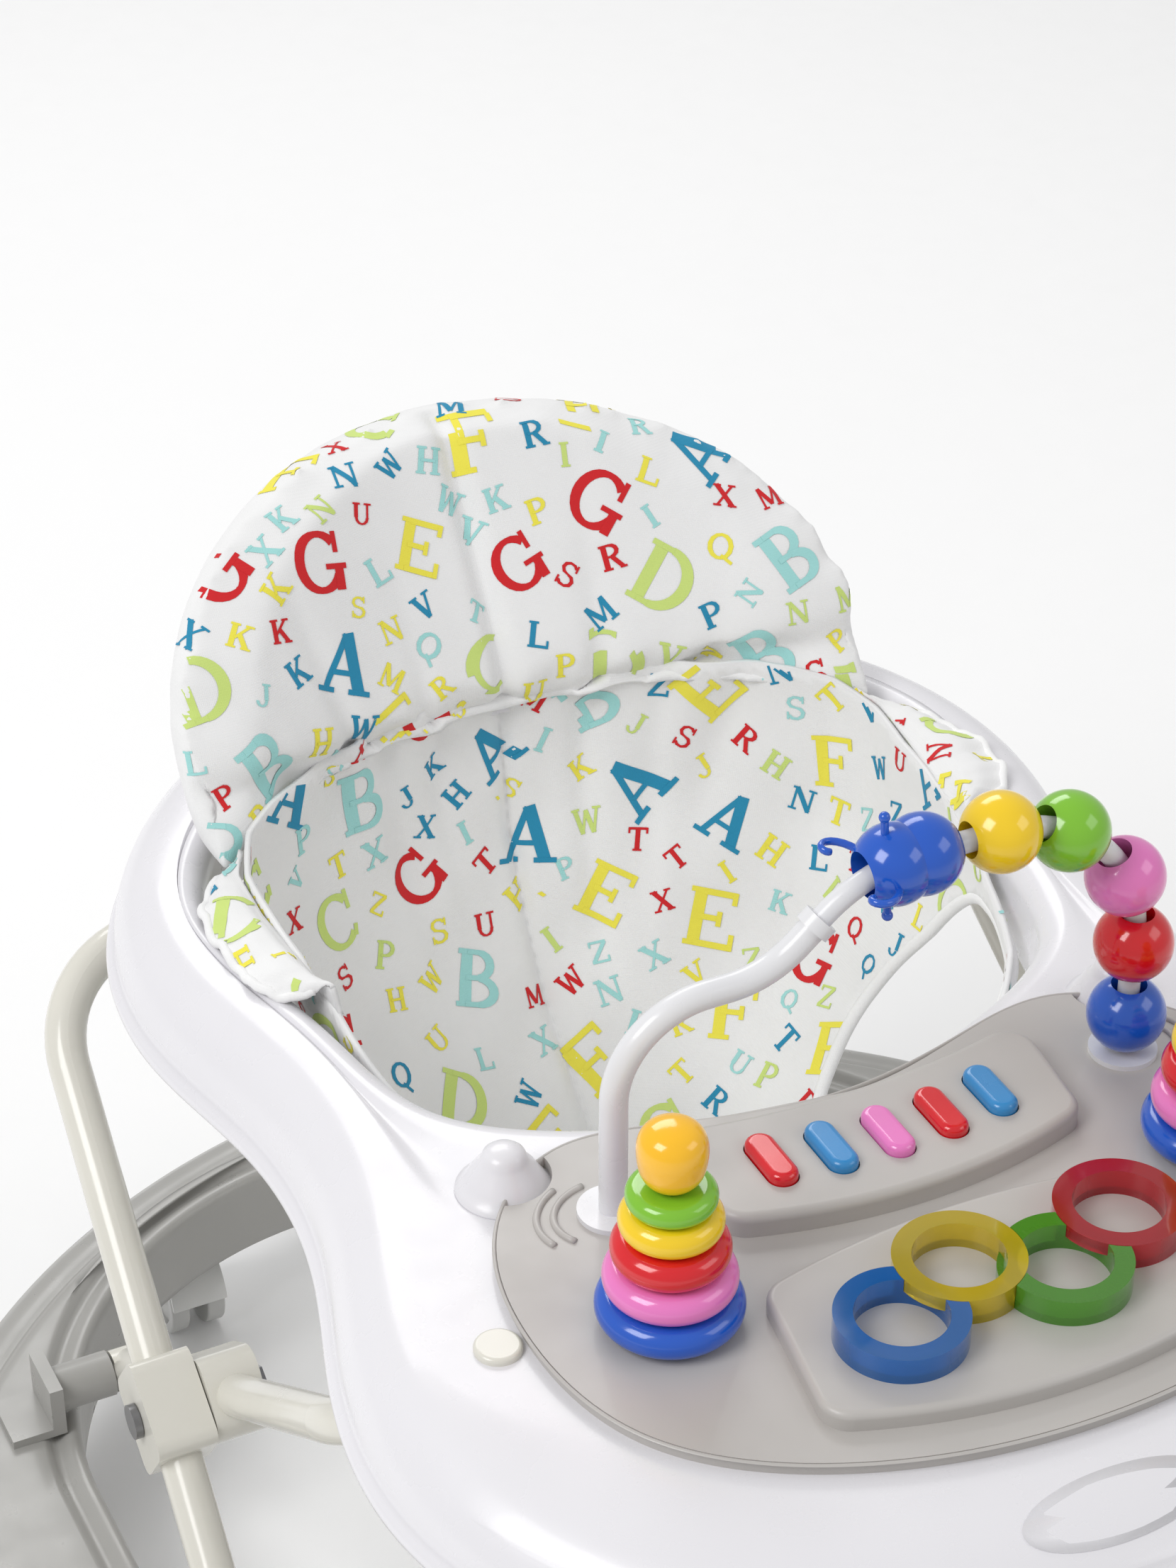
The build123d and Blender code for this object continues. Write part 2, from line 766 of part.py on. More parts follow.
play_arch.part.label = "play_arch"
export_step(play_arch.part, "parts/play_arch.step")

rod = rod_route.wire()
bead_pitch = 2 * bead_radius + bead_gap
bead_stops = (38.5, 74.6, 74.6 + bead_pitch, 141.0, 172.5)
bead_last = rod.length - (foot_disc_height + bead_radius + bead_gap)


def bead_plane(distance):
    """Plane across the rod at a distance along it from the collar."""
    share = distance / rod.length
    return Plane(origin=rod @ share, x_dir=(0, -1, 0), z_dir=rod % share)


for number, distance in enumerate(bead_stops + (bead_last,)):
    with BuildPart(bead_plane(distance)) as bead:
        if number == 0:
            with Locations((0, 0, -head_pitch / 2), (0, 0, head_pitch / 2)):
                Sphere(bead_radius)
            for side in SIDES:
                with Locations((0, side * (bead_radius + 1), -head_pitch / 2 - 3)):
                    Cylinder(1.4, 10, rotation=(90, 0, 0))
                with Locations((0, side * (bead_radius + 6), -head_pitch / 2 - 3)):
                    Sphere(2.0)
            Cylinder(head_bore, 4 * bead_radius, mode=Mode.SUBTRACT)
        else:
            Sphere(bead_radius)
            Cylinder(bead_bore, 3 * bead_radius, mode=Mode.SUBTRACT)
    bead.part.label = f"bead_{number + 1}"
    export_step(bead.part, f"parts/bead_{number + 1}.step")
    print("bead", number + 1, bead_plane(distance).origin, bead_plane(distance).z_dir)


# ---------------------------------------------------------------- stacking cones
for side in SIDES:
    name = "left" if side < 0 else "right"
    level = stage_top + 1.5
    for number, (radius, height) in enumerate(zip(cone_ring_radii, cone_ring_heights)):
        with BuildPart() as cone_ring:
            with BuildSketch(Plane.XZ.offset(-cone_y)):
                with Locations((side * cone_half + radius / 2, level + height / 2)):
                    Rectangle(radius, height)
            axis = Axis((side * cone_half, cone_y, 0), (0, 0, 1))
            revolve(axis=axis)
            rims = cone_ring.edges().filter_by(GeomType.CIRCLE)
            fillet(rims, height / 2 - 0.2)
            with BuildSketch(Plane.XY.offset(level)):
                with Locations((side * cone_half, cone_y)):
                    Circle(cone_post_radius + cone_bore_clearance)
            extrude(amount=height, mode=Mode.SUBTRACT)
        cone_ring.part.label = f"cone_ring_{name}_{number + 1}"
        export_step(cone_ring.part, f"parts/cone_ring_{name}_{number + 1}.step")
        level += height + cone_ring_gap

    with BuildPart() as cone_post:
        with BuildSketch(Plane.XY.offset(stage_top - 4)):
            with Locations((side * cone_half, cone_y)):
                Circle(cone_post_radius)
        extrude(amount=level - stage_top + 4 + 2)
        with BuildSketch(Plane.XY.offset(stage_top)):
            with Locations((side * cone_half, cone_y)):
                Circle(cone_post_radius + 6)
        extrude(amount=1)
        with BuildSketch(Plane.XZ.offset(-cone_y)):
            with BuildLine():
                centre = side * cone_half
                Spline(
                    (centre, level + 2 * knob_half_height - 4),
                    (centre + knob_radius, level + knob_half_height - 4),
                    (centre + 6, level),
                    tangents=((1, 0), (-1, -0.6)),
                )
                Line((centre + 6, level), (centre, level))
                Line((centre, level), (centre, level + 2 * knob_half_height - 4))
            make_face()
        revolve(axis=Axis((side * cone_half, cone_y, 0), (0, 0, 1)))
    cone_post.part.label = f"cone_post_{name}"
    export_step(cone_post.part, f"parts/cone_post_{name}.step")


# ---------------------------------------------------------------- seat and back
pad_slope = radians(pad_angle)
pad_plane = Plane(
    origin=(0, pad_front_y, tray_top + 5),
    x_dir=(1, 0, 0),
    z_dir=(0, -sin(pad_slope), cos(pad_slope)),
)
pad_floor = tray_top + 5.0


def back_outline(inset):
    """Rounded back rest outline in its own sloping plane, drawn in by inset."""
    points = (
        (0, pad_height),
        (62, pad_height - 12),
        (116, 92),
        (143, 45),
        (pad_half_width, 0),
        (138, -48),
        (80, -90),
        (0, -100),
    )
    return mirrored_outline(points, -inset)


def wrapped_layer(depth, thickness, inset):
    """A layer of the back rest, curved round the child, at a depth behind its front face."""
    with BuildPart() as layer:
        with BuildSketch(pad_plane.offset(-80)):
            add(back_outline(inset))
        extrude(amount=200)
        axle = Plane(
            origin=pad_plane.from_local_coords((0, -200, pad_wrap_radius)),
            z_dir=(0, cos(pad_slope), sin(pad_slope)),
        )
        with BuildSketch(axle):
            Circle(pad_wrap_radius + depth + thickness)
            Circle(pad_wrap_radius + depth, mode=Mode.SUBTRACT)
        extrude(amount=500, mode=Mode.INTERSECT)
        split(bisect_by=Plane.XY.offset(pad_floor), keep=Keep.TOP)
    return layer.part


with BuildPart() as back_board:
    add(wrapped_layer(board_depth, board_thickness, board_inset))
    board_foot_y = tongue_y + tongue_thickness / 2
    for side in SIDES:
        with BuildSketch(Plane.XY.offset(pad_floor)):
            with Locations((side * tongue_x, (board_foot_y + 184) / 2)):
                Rectangle(tongue_width, board_foot_y - 184)
        extrude(amount=6)
        with BuildSketch(Plane.XY.offset(cavity_roof - 12)):
            with Locations((side * tongue_x, tongue_y)):
                Rectangle(tongue_width, tongue_thickness)
        extrude(amount=pad_floor - cavity_roof + 12)
back_board.part.label = "back_board"
export_step(back_board.part, "parts/back_board.step")

with BuildPart() as back_pad:
    add(wrapped_layer(0, pad_thickness, 0))
    add(back_board.part, mode=Mode.SUBTRACT)
back_pad.part.label = "back_pad"
export_step(back_pad.part, "parts/back_pad.step")

with BuildPart() as bowl_outer:
    Sphere(1)
    scale(by=(sling_half_width, sling_half_length, sling_depth))

with BuildPart() as bowl_inner:
    Sphere(1)
    scale(
        by=(sling_half_width - sling_wall, sling_half_length - sling_wall, sling_depth - sling_wall)
    )

with BuildPart() as seat_sling:
    bowl_place = Location((0, sling_y, tray_top + 3))
    add(bowl_outer.part.moved(bowl_place))
    add(bowl_inner.part.moved(bowl_place), mode=Mode.SUBTRACT)
    split(bisect_by=Plane.XY.offset(tray_top + 3), keep=Keep.BOTTOM)
    with BuildSketch(Plane.XY):
        with Locations((-leg_hole_x, leg_hole_y), (leg_hole_x, leg_hole_y)):
            Ellipse(leg_hole_half_width, leg_hole_half_length)
    extrude(amount=tray_top - 40, mode=Mode.SUBTRACT)
    for side in SIDES:
        with BuildSketch(Plane.XY.offset(tray_top)):
            with Locations((side * 147, 101)):
                Rectangle(42, 46)
        extrude(amount=3)
seat_sling.part.label = "seat_sling"
export_step(seat_sling.part, "parts/seat_sling.step")
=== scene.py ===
import math

import bmesh
import bpy
import numpy as np
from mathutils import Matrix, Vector, geometry
from mathutils.bvhtree import BVHTree


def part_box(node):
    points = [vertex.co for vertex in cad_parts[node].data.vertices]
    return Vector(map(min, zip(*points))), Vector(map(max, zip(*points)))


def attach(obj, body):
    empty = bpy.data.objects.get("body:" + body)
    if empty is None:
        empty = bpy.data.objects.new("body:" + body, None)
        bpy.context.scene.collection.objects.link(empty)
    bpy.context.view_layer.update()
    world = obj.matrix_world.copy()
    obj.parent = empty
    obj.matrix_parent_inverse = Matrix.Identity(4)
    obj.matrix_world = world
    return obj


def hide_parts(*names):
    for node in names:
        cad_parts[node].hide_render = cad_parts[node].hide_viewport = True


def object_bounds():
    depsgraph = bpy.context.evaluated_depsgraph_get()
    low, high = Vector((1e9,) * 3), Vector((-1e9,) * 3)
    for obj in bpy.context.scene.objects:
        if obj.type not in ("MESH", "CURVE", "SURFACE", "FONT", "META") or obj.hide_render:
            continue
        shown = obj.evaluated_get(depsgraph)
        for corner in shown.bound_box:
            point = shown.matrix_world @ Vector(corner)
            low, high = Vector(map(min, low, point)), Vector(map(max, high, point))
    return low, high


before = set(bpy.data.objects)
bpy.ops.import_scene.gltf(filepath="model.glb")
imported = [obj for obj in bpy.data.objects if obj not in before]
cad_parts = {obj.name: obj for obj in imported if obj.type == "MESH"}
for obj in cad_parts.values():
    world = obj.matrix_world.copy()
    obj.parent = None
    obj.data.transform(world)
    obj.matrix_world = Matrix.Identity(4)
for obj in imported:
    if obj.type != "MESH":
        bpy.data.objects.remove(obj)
cad_low, cad_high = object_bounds()

MM = 0.001  # one millimetre in metres


# ---- materials
def srgb(r, g, b):
    """Linear colour, with alpha, from display values."""
    linear = [c / 12.92 if c <= 0.04045 else ((c + 0.055) / 1.055) ** 2.4 for c in (r, g, b)]
    return (*linear, 1)


def noise_node(tree, coords, scale, detail=3.0, rough=0.55):
    node = tree.nodes.new("ShaderNodeTexNoise")
    node.inputs["Scale"].default_value = scale
    node.inputs["Detail"].default_value = detail
    node.inputs["Roughness"].default_value = rough
    tree.links.new(coords, node.inputs["Vector"])
    return node


NOISE_LOW, NOISE_HIGH = 0.3, 0.7  # most of a noise texture's values lie between these


def ranged(tree, value, low, high):
    """The noise value carried to the range from low to high."""
    node = tree.nodes.new("ShaderNodeMapRange")
    node.inputs["From Min"].default_value = NOISE_LOW
    node.inputs["From Max"].default_value = NOISE_HIGH
    node.inputs["To Min"].default_value = low
    node.inputs["To Max"].default_value = high
    tree.links.new(value, node.inputs["Value"])
    return node.outputs["Result"]


def tinted(tree, colour, factor, change):
    """The colour, and the colour times change where factor is 1."""
    node = tree.nodes.new("ShaderNodeMix")
    node.data_type = "RGBA"
    node.inputs["A"].default_value = colour
    node.inputs["B"].default_value = tuple(min(1, c * change) for c in colour[:3]) + (1,)
    tree.links.new(factor, node.inputs["Factor"])
    return node.outputs["Result"]


def new_material(name):
    mat = bpy.data.materials.new(name)
    mat.use_nodes = True
    tree = mat.node_tree
    shader = tree.nodes["Principled BSDF"]
    coords = tree.nodes.new("ShaderNodeTexCoord").outputs["Object"]
    return mat, tree, shader, coords


def bumped(tree, shader, height, strength, distance):
    bump = tree.nodes.new("ShaderNodeBump")
    bump.inputs["Strength"].default_value = strength
    bump.inputs["Distance"].default_value = distance
    tree.links.new(height, bump.inputs["Height"])
    tree.links.new(bump.outputs["Normal"], shader.inputs["Normal"])


def plastic(name, colour, rough=0.3, grain=900, depth=0.02, coat=0.0, sub=0.0, change=0.93):
    """Moulded plastic: faint flow marks in the colour, fine grain and small changes of gloss.

    grain is the scale of the bump noise and depth its height in millimetres.
    """
    mat, tree, shader, coords = new_material(name)
    shade = noise_node(tree, coords, 14, 4)
    tree.links.new(
        tinted(tree, colour, ranged(tree, shade.outputs["Fac"], 0, 1), change),
        shader.inputs["Base Color"],
    )
    gloss = noise_node(tree, coords, 45, 5)
    tree.links.new(
        ranged(tree, gloss.outputs["Fac"], rough * 0.8, rough * 1.25), shader.inputs["Roughness"]
    )
    skin = noise_node(tree, coords, grain, 2)
    bumped(tree, shader, skin.outputs["Fac"], 0.25, depth * MM)
    if coat:
        shader.inputs["Coat Weight"].default_value = coat
        shader.inputs["Coat Roughness"].default_value = 0.08
    if sub:
        shader.inputs["Subsurface Weight"].default_value = sub
        shader.inputs["Subsurface Radius"].default_value = (0.004, 0.004, 0.004)
    return mat


def clear_plastic(name, colour):
    """Tinted see-through plastic."""
    mat = plastic(name, colour, 0.12, 500, 0.01)
    shader = mat.node_tree.nodes["Principled BSDF"]
    shader.inputs["Transmission Weight"].default_value = 0.55
    shader.inputs["IOR"].default_value = 1.49
    shader.inputs["Coat Weight"].default_value = 0.5
    return mat


def fabric(name, colour, sheen=0.25):
    """Printed polyester: a fine plain weave over soft wrinkles."""
    mat, tree, shader, coords = new_material(name)
    shade = noise_node(tree, coords, 22, 4)
    tree.links.new(
        tinted(tree, colour, ranged(tree, shade.outputs["Fac"], 0, 1), 0.95),
        shader.inputs["Base Color"],
    )
    threads = []
    for axis in ("X", "Z"):
        wave = tree.nodes.new("ShaderNodeTexWave")
        wave.bands_direction = axis
        wave.inputs["Scale"].default_value = 420
        wave.inputs["Distortion"].default_value = 0.6
        tree.links.new(coords, wave.inputs["Vector"])
        threads.append(wave.outputs["Fac"])
    weave = tree.nodes.new("ShaderNodeMath")
    weave.operation = "MAXIMUM"
    tree.links.new(threads[0], weave.inputs[0])
    tree.links.new(threads[1], weave.inputs[1])
    folds = noise_node(tree, coords, 38, 3)
    both = tree.nodes.new("ShaderNodeMath")
    both.operation = "MULTIPLY_ADD"
    both.inputs[1].default_value = 9.0
    tree.links.new(folds.outputs["Fac"], both.inputs[0])
    tree.links.new(weave.outputs[0], both.inputs[2])
    bumped(tree, shader, both.outputs[0], 0.35, 0.12 * MM)
    shader.inputs["Roughness"].default_value = 0.82
    shader.inputs["Sheen Weight"].default_value = sheen
    shader.inputs["Sheen Roughness"].default_value = 0.5
    shader.inputs["Specular IOR Level"].default_value = 0.3
    return mat


def metal(name, colour, rough):
    mat = plastic(name, colour, rough, 700, 0.02)
    mat.node_tree.nodes["Principled BSDF"].inputs["Metallic"].default_value = 1.0
    return mat


tray_white = plastic(
    "tray_white", srgb(0.9, 0.895, 0.91),
    rough=0.28, grain=350, depth=0.006, coat=0.2, sub=0.05, change=0.985,
)
cream = plastic("cream", srgb(0.88, 0.87, 0.83), rough=0.22, grain=350, depth=0.006, coat=0.35)
base_grey = plastic(
    "base_grey", srgb(0.66, 0.655, 0.64), rough=0.32, grain=350, depth=0.008, coat=0.1
)
console_grey = plastic(
    "console_grey", srgb(0.74, 0.725, 0.71), rough=0.36, grain=350, depth=0.012, coat=0.08
)
arch_white = plastic(
    "arch_white", srgb(0.9, 0.9, 0.91), rough=0.26, grain=350, depth=0.006, coat=0.2
)
wheel_grey = plastic("wheel_grey", srgb(0.78, 0.78, 0.77), rough=0.45, grain=300, depth=0.06)
caster_white = plastic("caster_white", srgb(0.86, 0.86, 0.85), rough=0.35, grain=300, depth=0.05)
bolt_steel = metal("bolt_steel", srgb(0.55, 0.55, 0.56), 0.3)
TOY_TINTS = {
    "red": (0.86, 0.07, 0.12), "blue": (0.1, 0.35, 0.78), "yellow": (0.98, 0.82, 0.1),
    "green": (0.5, 0.76, 0.18), "pink": (0.93, 0.5, 0.78), "orange": (0.99, 0.75, 0.1),
}
toy = {
    name: plastic(f"toy_{name}", srgb(*tint), rough=0.16, grain=500, depth=0.02, coat=0.5)
    for name, tint in TOY_TINTS.items()
}
key_blue = plastic("key_blue", srgb(0.2, 0.55, 0.8), rough=0.25, grain=500, depth=0.02, coat=0.3)
LINK_TINTS = {
    "blue": (0.16, 0.5, 0.85), "yellow": (0.93, 0.82, 0.15), "green": (0.4, 0.72, 0.2),
    "red": (0.85, 0.12, 0.18),
}
link = {name: clear_plastic(f"link_{name}", srgb(*tint)) for name, tint in LINK_TINTS.items()}
cloth_white = fabric("cloth_white", srgb(0.93, 0.93, 0.93))
hem_white = fabric("hem_white", srgb(0.95, 0.95, 0.95), 0.1)
INK_TINTS = {
    "red": (0.82, 0.14, 0.16), "blue": (0.16, 0.55, 0.7), "yellow": (0.94, 0.9, 0.32),
    "lime": (0.8, 0.88, 0.5), "aqua": (0.64, 0.86, 0.85),
}
ink = [fabric(f"ink_{name}", srgb(*tint), 0.1) for name, tint in INK_TINTS.items()]

NODE_MATERIALS = {
    "base_ring": base_grey,
    "front_slide_rails": base_grey,
    "rear_pivot_brackets": base_grey,
    "toy_console": console_grey,
    "play_arch": arch_white,
    "tray_caps": cream,
    "cross_bolts": bolt_steel,
    "cone_post_left": toy["orange"],
    "cone_post_right": toy["orange"],
}
CONE_COLOURS = ("blue", "pink", "red", "yellow", "green")
BEAD_COLOURS = ("blue", "yellow", "green", "pink", "red", "blue")
KEY_COLOURS = (toy["red"], key_blue, toy["pink"], toy["red"], key_blue)
LINK_COLOURS = ("blue", "yellow", "green", "red")
for side in ("left", "right"):
    for number, colour in enumerate(CONE_COLOURS):
        NODE_MATERIALS[f"cone_ring_{side}_{number + 1}"] = toy[colour]
for number, colour in enumerate(BEAD_COLOURS):
    NODE_MATERIALS[f"bead_{number + 1}"] = toy[colour]
for number, key_material in enumerate(KEY_COLOURS):
    NODE_MATERIALS[f"key_{number + 1}"] = key_material
for number, colour in enumerate(LINK_COLOURS):
    NODE_MATERIALS[f"link_ring_{number + 1}"] = link[colour]


def material_for(name):
    if name in NODE_MATERIALS:
        return NODE_MATERIALS[name]
    if "wheel" in name:
        return wheel_grey
    if "caster" in name:
        return caster_white
    if any(word in name for word in ("leg", "sleeve", "saddle", "bracket")):
        return cream
    return tray_white


for name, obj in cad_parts.items():
    if not obj.material_slots:
        obj.data.materials.append(None)
    for material_slot in obj.material_slots:
        material_slot.material = material_for(name)


# ---- mesh helpers
def shade_smooth(data):
    for polygon in data.polygons:
        polygon.use_smooth = True


def apply_modifiers(obj):
    """Gives the object the mesh that its modifiers make, and takes them off."""
    depsgraph = bpy.context.evaluated_depsgraph_get()
    made = bpy.data.meshes.new_from_object(obj.evaluated_get(depsgraph))
    obj.modifiers.clear()
    obj.data = made
    return made


def mesh_object(name, points, faces, materials):
    data = bpy.data.meshes.new(name)
    data.from_pydata([tuple(p) for p in points], [], faces)
    data.update()
    obj = bpy.data.objects.new(name, data)
    bpy.context.scene.collection.objects.link(obj)
    for mat in materials:
        data.materials.append(mat)
    shade_smooth(data)
    return obj


def outward(obj):
    """Faces turned outward."""
    bm = bmesh.new()
    bm.from_mesh(obj.data)
    bmesh.ops.recalc_face_normals(bm, faces=bm.faces)
    bm.to_mesh(obj.data)
    bm.free()


def lofted(name, rings, materials, closed_profile=False, caps=False):
    """A skin over rings of equal length, each a closed loop of points.

    closed_profile joins the last ring to the first; caps closes the two end rings.
    """
    count = len(rings[0])
    points = [p for ring in rings for p in ring]
    faces = []
    spans = len(rings) if closed_profile else len(rings) - 1
    for i in range(spans):
        a, b = i * count, ((i + 1) % len(rings)) * count
        for j in range(count):
            k = (j + 1) % count
            faces.append((a + j, a + k, b + k, b + j))
    if caps:
        faces.append(tuple(range(count))[::-1])
        faces.append(tuple(range((len(rings) - 1) * count, len(rings) * count)))
    obj = mesh_object(name, points, faces, materials)
    outward(obj)
    return obj


def tube(name, path, radius, materials, sides=10, closed=False):
    """A round tube along points, with flat ends, or a ring if closed."""
    path = [Vector(p) for p in path]
    count = len(path)
    rings = []
    lift = None
    for i, p in enumerate(path):
        before = path[i - 1] if closed or i else p
        after = path[(i + 1) % count] if closed or i < count - 1 else p
        along = (after - before).normalized()
        lift = along.orthogonal() if lift is None else lift - along * lift.dot(along)
        lift.normalize()
        side_way = along.cross(lift)
        rings.append([
            p + (lift * math.cos(a) + side_way * math.sin(a)) * radius
            for a in (2 * math.pi * j / sides for j in range(sides))
        ])
    return lofted(name, rings, materials, closed_profile=closed, caps=not closed)


def finish_piece(obj, body, replaces=()):
    """Tells the frame what the piece rides on and the nodes it replaces."""
    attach(obj, body)
    if replaces:
        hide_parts(*replaces)
    return obj


def periodic_curve(points, count):
    """Evenly spaced points on the smooth closed curve through the given ones."""
    p = np.array(points, float)
    n = len(p)
    step = np.linalg.norm(np.roll(p, -1, 0) - p, axis=1)
    grid = np.zeros((n, n))
    right = np.zeros((n, 2))
    for i in range(n):
        h0, h1 = step[i - 1], step[i]
        grid[i, (i - 1) % n] += h0
        grid[i, i] += 2 * (h0 + h1)
        grid[i, (i + 1) % n] += h1
        right[i] = 6 * ((p[(i + 1) % n] - p[i]) / h1 - (p[i] - p[i - 1]) / h0)
    bend = np.linalg.solve(grid, right)
    fine = []
    for i in range(n):
        j, h = (i + 1) % n, step[i]
        t = np.linspace(0, 1, 60, endpoint=False)[:, None]
        a, b = 1 - t, t
        fine.append(
            a * p[i] + b * p[j] + h * h / 6 * ((a**3 - a) * bend[i] + (b**3 - b) * bend[j])
        )
    fine = np.vstack(fine)
    fine = np.vstack([fine, fine[:1]])
    length = np.concatenate([[0], np.cumsum(np.linalg.norm(np.diff(fine, axis=0), axis=1))])
    wanted = np.linspace(0, length[-1], count, endpoint=False)
    return np.stack([np.interp(wanted, length, fine[:, k]) for k in (0, 1)], 1)


def mirrored(half):
    """The whole outline from its half; the first and last points are on the middle line."""
    return list(half) + [(-x, y) for x, y in half[-2:0:-1]]


def inset_loop(loop, distances):
    """The loop moved inwards by a distance, one for each point or one for all."""
    along = np.roll(loop, -1, 0) - np.roll(loop, 1, 0)
    along /= np.linalg.norm(along, axis=1)[:, None]
    inward = np.stack([-along[:, 1], along[:, 0]], 1)
    return loop + inward * np.reshape(distances, (-1, 1))


def smoothstep(x):
    """0 below 0, 1 above 1, and smooth between."""
    x = np.clip(x, 0, 1)
    return x * x * (3 - 2 * x)


# ---- tray
TRAY_HALF = (
    (0, -336), (105, -317), (180, -262), (211, -190), (206, -125), (187, -60),
    (184, 5), (197, 75), (188, 150), (147, 215), (80, 262), (0, 277),
)
SEAT_HALF = ((0, -87), (80, -67), (124, -36), (142, 30), (155, 115), (112, 183), (0, 212))
TRAY_TOP = 375.0
TRAY_CENTRE = np.array([0.0, 60.0])
TRAY_COUNT = 288  # points round the tray
TRAY_WALL = 3.6
ROUND_FROM = 348.0  # height where the side wall starts to round over
OPENING_ROUND = 11.0  # radius of the edge of the seat opening
# (inset, height) of the rings below the rounded part, and down inside the opening
SKIRT_RINGS = (
    (3.6, 337.0), (1.2, 337.0), (0.3, 338.0), (0.0, 339.7), (0.5, 341.8), (2.0, 343.3),
    (3.6, 344.2),
)
OPENING_RINGS = (
    (0.5, 352.0), (0.8, 340.0), (0.2, 337.5), (-1.5, 337.0), (-3.0, 337.8), (-3.3, 352.0),
)


def direction(loop):
    """The angle of each point as seen from the tray's centre."""
    return np.arctan2(loop[:, 1] - TRAY_CENTRE[1], loop[:, 0] - TRAY_CENTRE[0])


outer = periodic_curve(mirrored(TRAY_HALF), TRAY_COUNT)
# matching points of the opening lie in the same direction from the centre
seat_dense = periodic_curve(mirrored(SEAT_HALF), 3000)
seat_angle = direction(seat_dense)
order = np.argsort(seat_angle)
outer_angle = direction(outer)
inner = np.stack(
    [
        np.interp(outer_angle, seat_angle[order], seat_dense[order, k], period=2 * math.pi)
        for k in (0, 1)
    ],
    1,
)


def at_height(loop, z):
    """Points in metres from a flat loop in millimetres, at one height or one for each."""
    z = np.broadcast_to(np.reshape(z, (-1,)), (len(loop),))
    return [Vector((x * MM, y * MM, h * MM)) for (x, y), h in zip(loop, z)]


frontness = smoothstep((-150 - outer[:, 1]) / 110)
round_in = 26 + 26 * frontness  # the rounded part is wider at the front
round_rise = TRAY_TOP - ROUND_FROM
# 1 on both sides of the seat, where the rim dips
beside_seat = np.exp(-((inner[:, 0] + 150) / 60) ** 2) + np.exp(-((inner[:, 0] - 150) / 60) ** 2)
rings = [at_height(inset_loop(outer, inset), z) for inset, z in SKIRT_RINGS]
for k in range(13):
    turn = k / 12 * math.pi / 2
    rings.append(
        at_height(
            inset_loop(outer, 3.8 + round_in * (1 - math.cos(turn) ** 0.9)),
            ROUND_FROM + round_rise * math.sin(turn) ** 1.05,
        )
    )
plateau_out = inset_loop(outer, 3.8 + round_in)
plateau_in = inset_loop(inner, -OPENING_ROUND)
for k in range(1, 10):
    t = k / 10
    dip = 2.2 * np.exp(-(((t - 0.74) / 0.13) ** 2)) * beside_seat
    rings.append(at_height(plateau_out * (1 - t) + plateau_in * t, TRAY_TOP - dip))
for k in range(8):
    turn = k / 7 * math.pi / 2
    rings.append(
        at_height(
            inset_loop(inner, -OPENING_ROUND * (1 - math.sin(turn))),
            TRAY_TOP - OPENING_ROUND * (1 - math.cos(turn)),
        )
    )
rings += [at_height(inset_loop(inner, inset), z) for inset, z in OPENING_RINGS]
# back along the underside to the first ring
rings.append(at_height(inset_loop(inner, -OPENING_ROUND), TRAY_TOP - TRAY_WALL))
rings.append(at_height(plateau_out, TRAY_TOP - TRAY_WALL))
rings.append(at_height(inset_loop(outer, 10.0), 362.0))
rings.append(at_height(inset_loop(outer, 7.2), 350.0))
tray = lofted("tray_moulding", rings, [tray_white], closed_profile=True)
finish_piece(tray, "tray", ["tray_shell"])


def turned(name, place, profile, materials, sides=48):
    """A turned solid from (radius, height) pairs about a vertical axis, in millimetres."""
    rings = [
        [
            Vector((
                (place[0] + r * math.cos(a)) * MM,
                (place[1] + r * math.sin(a)) * MM,
                (place[2] + z) * MM,
            ))
            for a in (2 * math.pi * j / sides for j in range(sides))
        ]
        for r, z in profile
    ]
    return lofted(name, rings, materials, caps=True)


DOME_X, DOME_Y = 124, -87
# (radius, height) pairs
DOME = (
    (17.5, -1.0), (17.3, 0.2), (15.6, 1.4), (13.6, 4.4), (11.2, 8.4), (9.0, 11.0),
    (8.2, 12.6), (7.4, 14.6), (5.6, 16.2), (3.0, 16.9), (0.2, 17.0),
)
for side, name in ((-1, "left"), (1, "right")):
    dome = turned(f"tray_dome_{name}", (side * DOME_X, DOME_Y, TRAY_TOP), DOME, [tray_white])
    finish_piece(dome, "tray")

# ---- base ring
RING_RADIUS = 336.8
RING_COUNT = 360  # points round the ring
WELL_HALF = (221.0, 242.0)  # half of the opening's width and length
WELL_CORNER = 165.0
WELL_Y = 42.0
CASTER_REACH = 314  # the casters' distance from the ring's centre
# (inset from the outside, height), from the bottom edge up to the flat top
OUTSIDE_RINGS = (
    (3.0, 49.2), (1.0, 49.0), (0.0, 50.5), (0.0, 55.0), (0.9, 56.2), (0.9, 57.6), (0.0, 58.8),
    (0.2, 72.0), (1.4, 78.5), (4.6, 83.6), (9.0, 86.6), (14.0, 87.8), (19.0, 88.0),
    (20.4, 87.4), (21.6, 87.5), (23.0, 89.6), (25.4, 90.8), (29.0, 91.0),
)
# (inset from the opening, height), from the flat top down and back up inside
WELL_RINGS = (
    (-15.4, 90.2), (-13.6, 88.0), (-11.6, 86.8), (-9.4, 87.4), (-7.0, 89.4), (-4.4, 90.4),
    (-2.0, 89.6), (-0.5, 87.2), (0.0, 84.0), (0.0, 56.0), (-0.4, 50.2), (-1.6, 49.0),
    (-3.2, 50.2), (-3.4, 82.0),
)
CASTER_BOSS = (
    (5.0, 51.0), (8.6, 50.6), (9.4, 51.4), (9.6, 60.0), (10.2, 84.9), (4.0, 85.0),
)


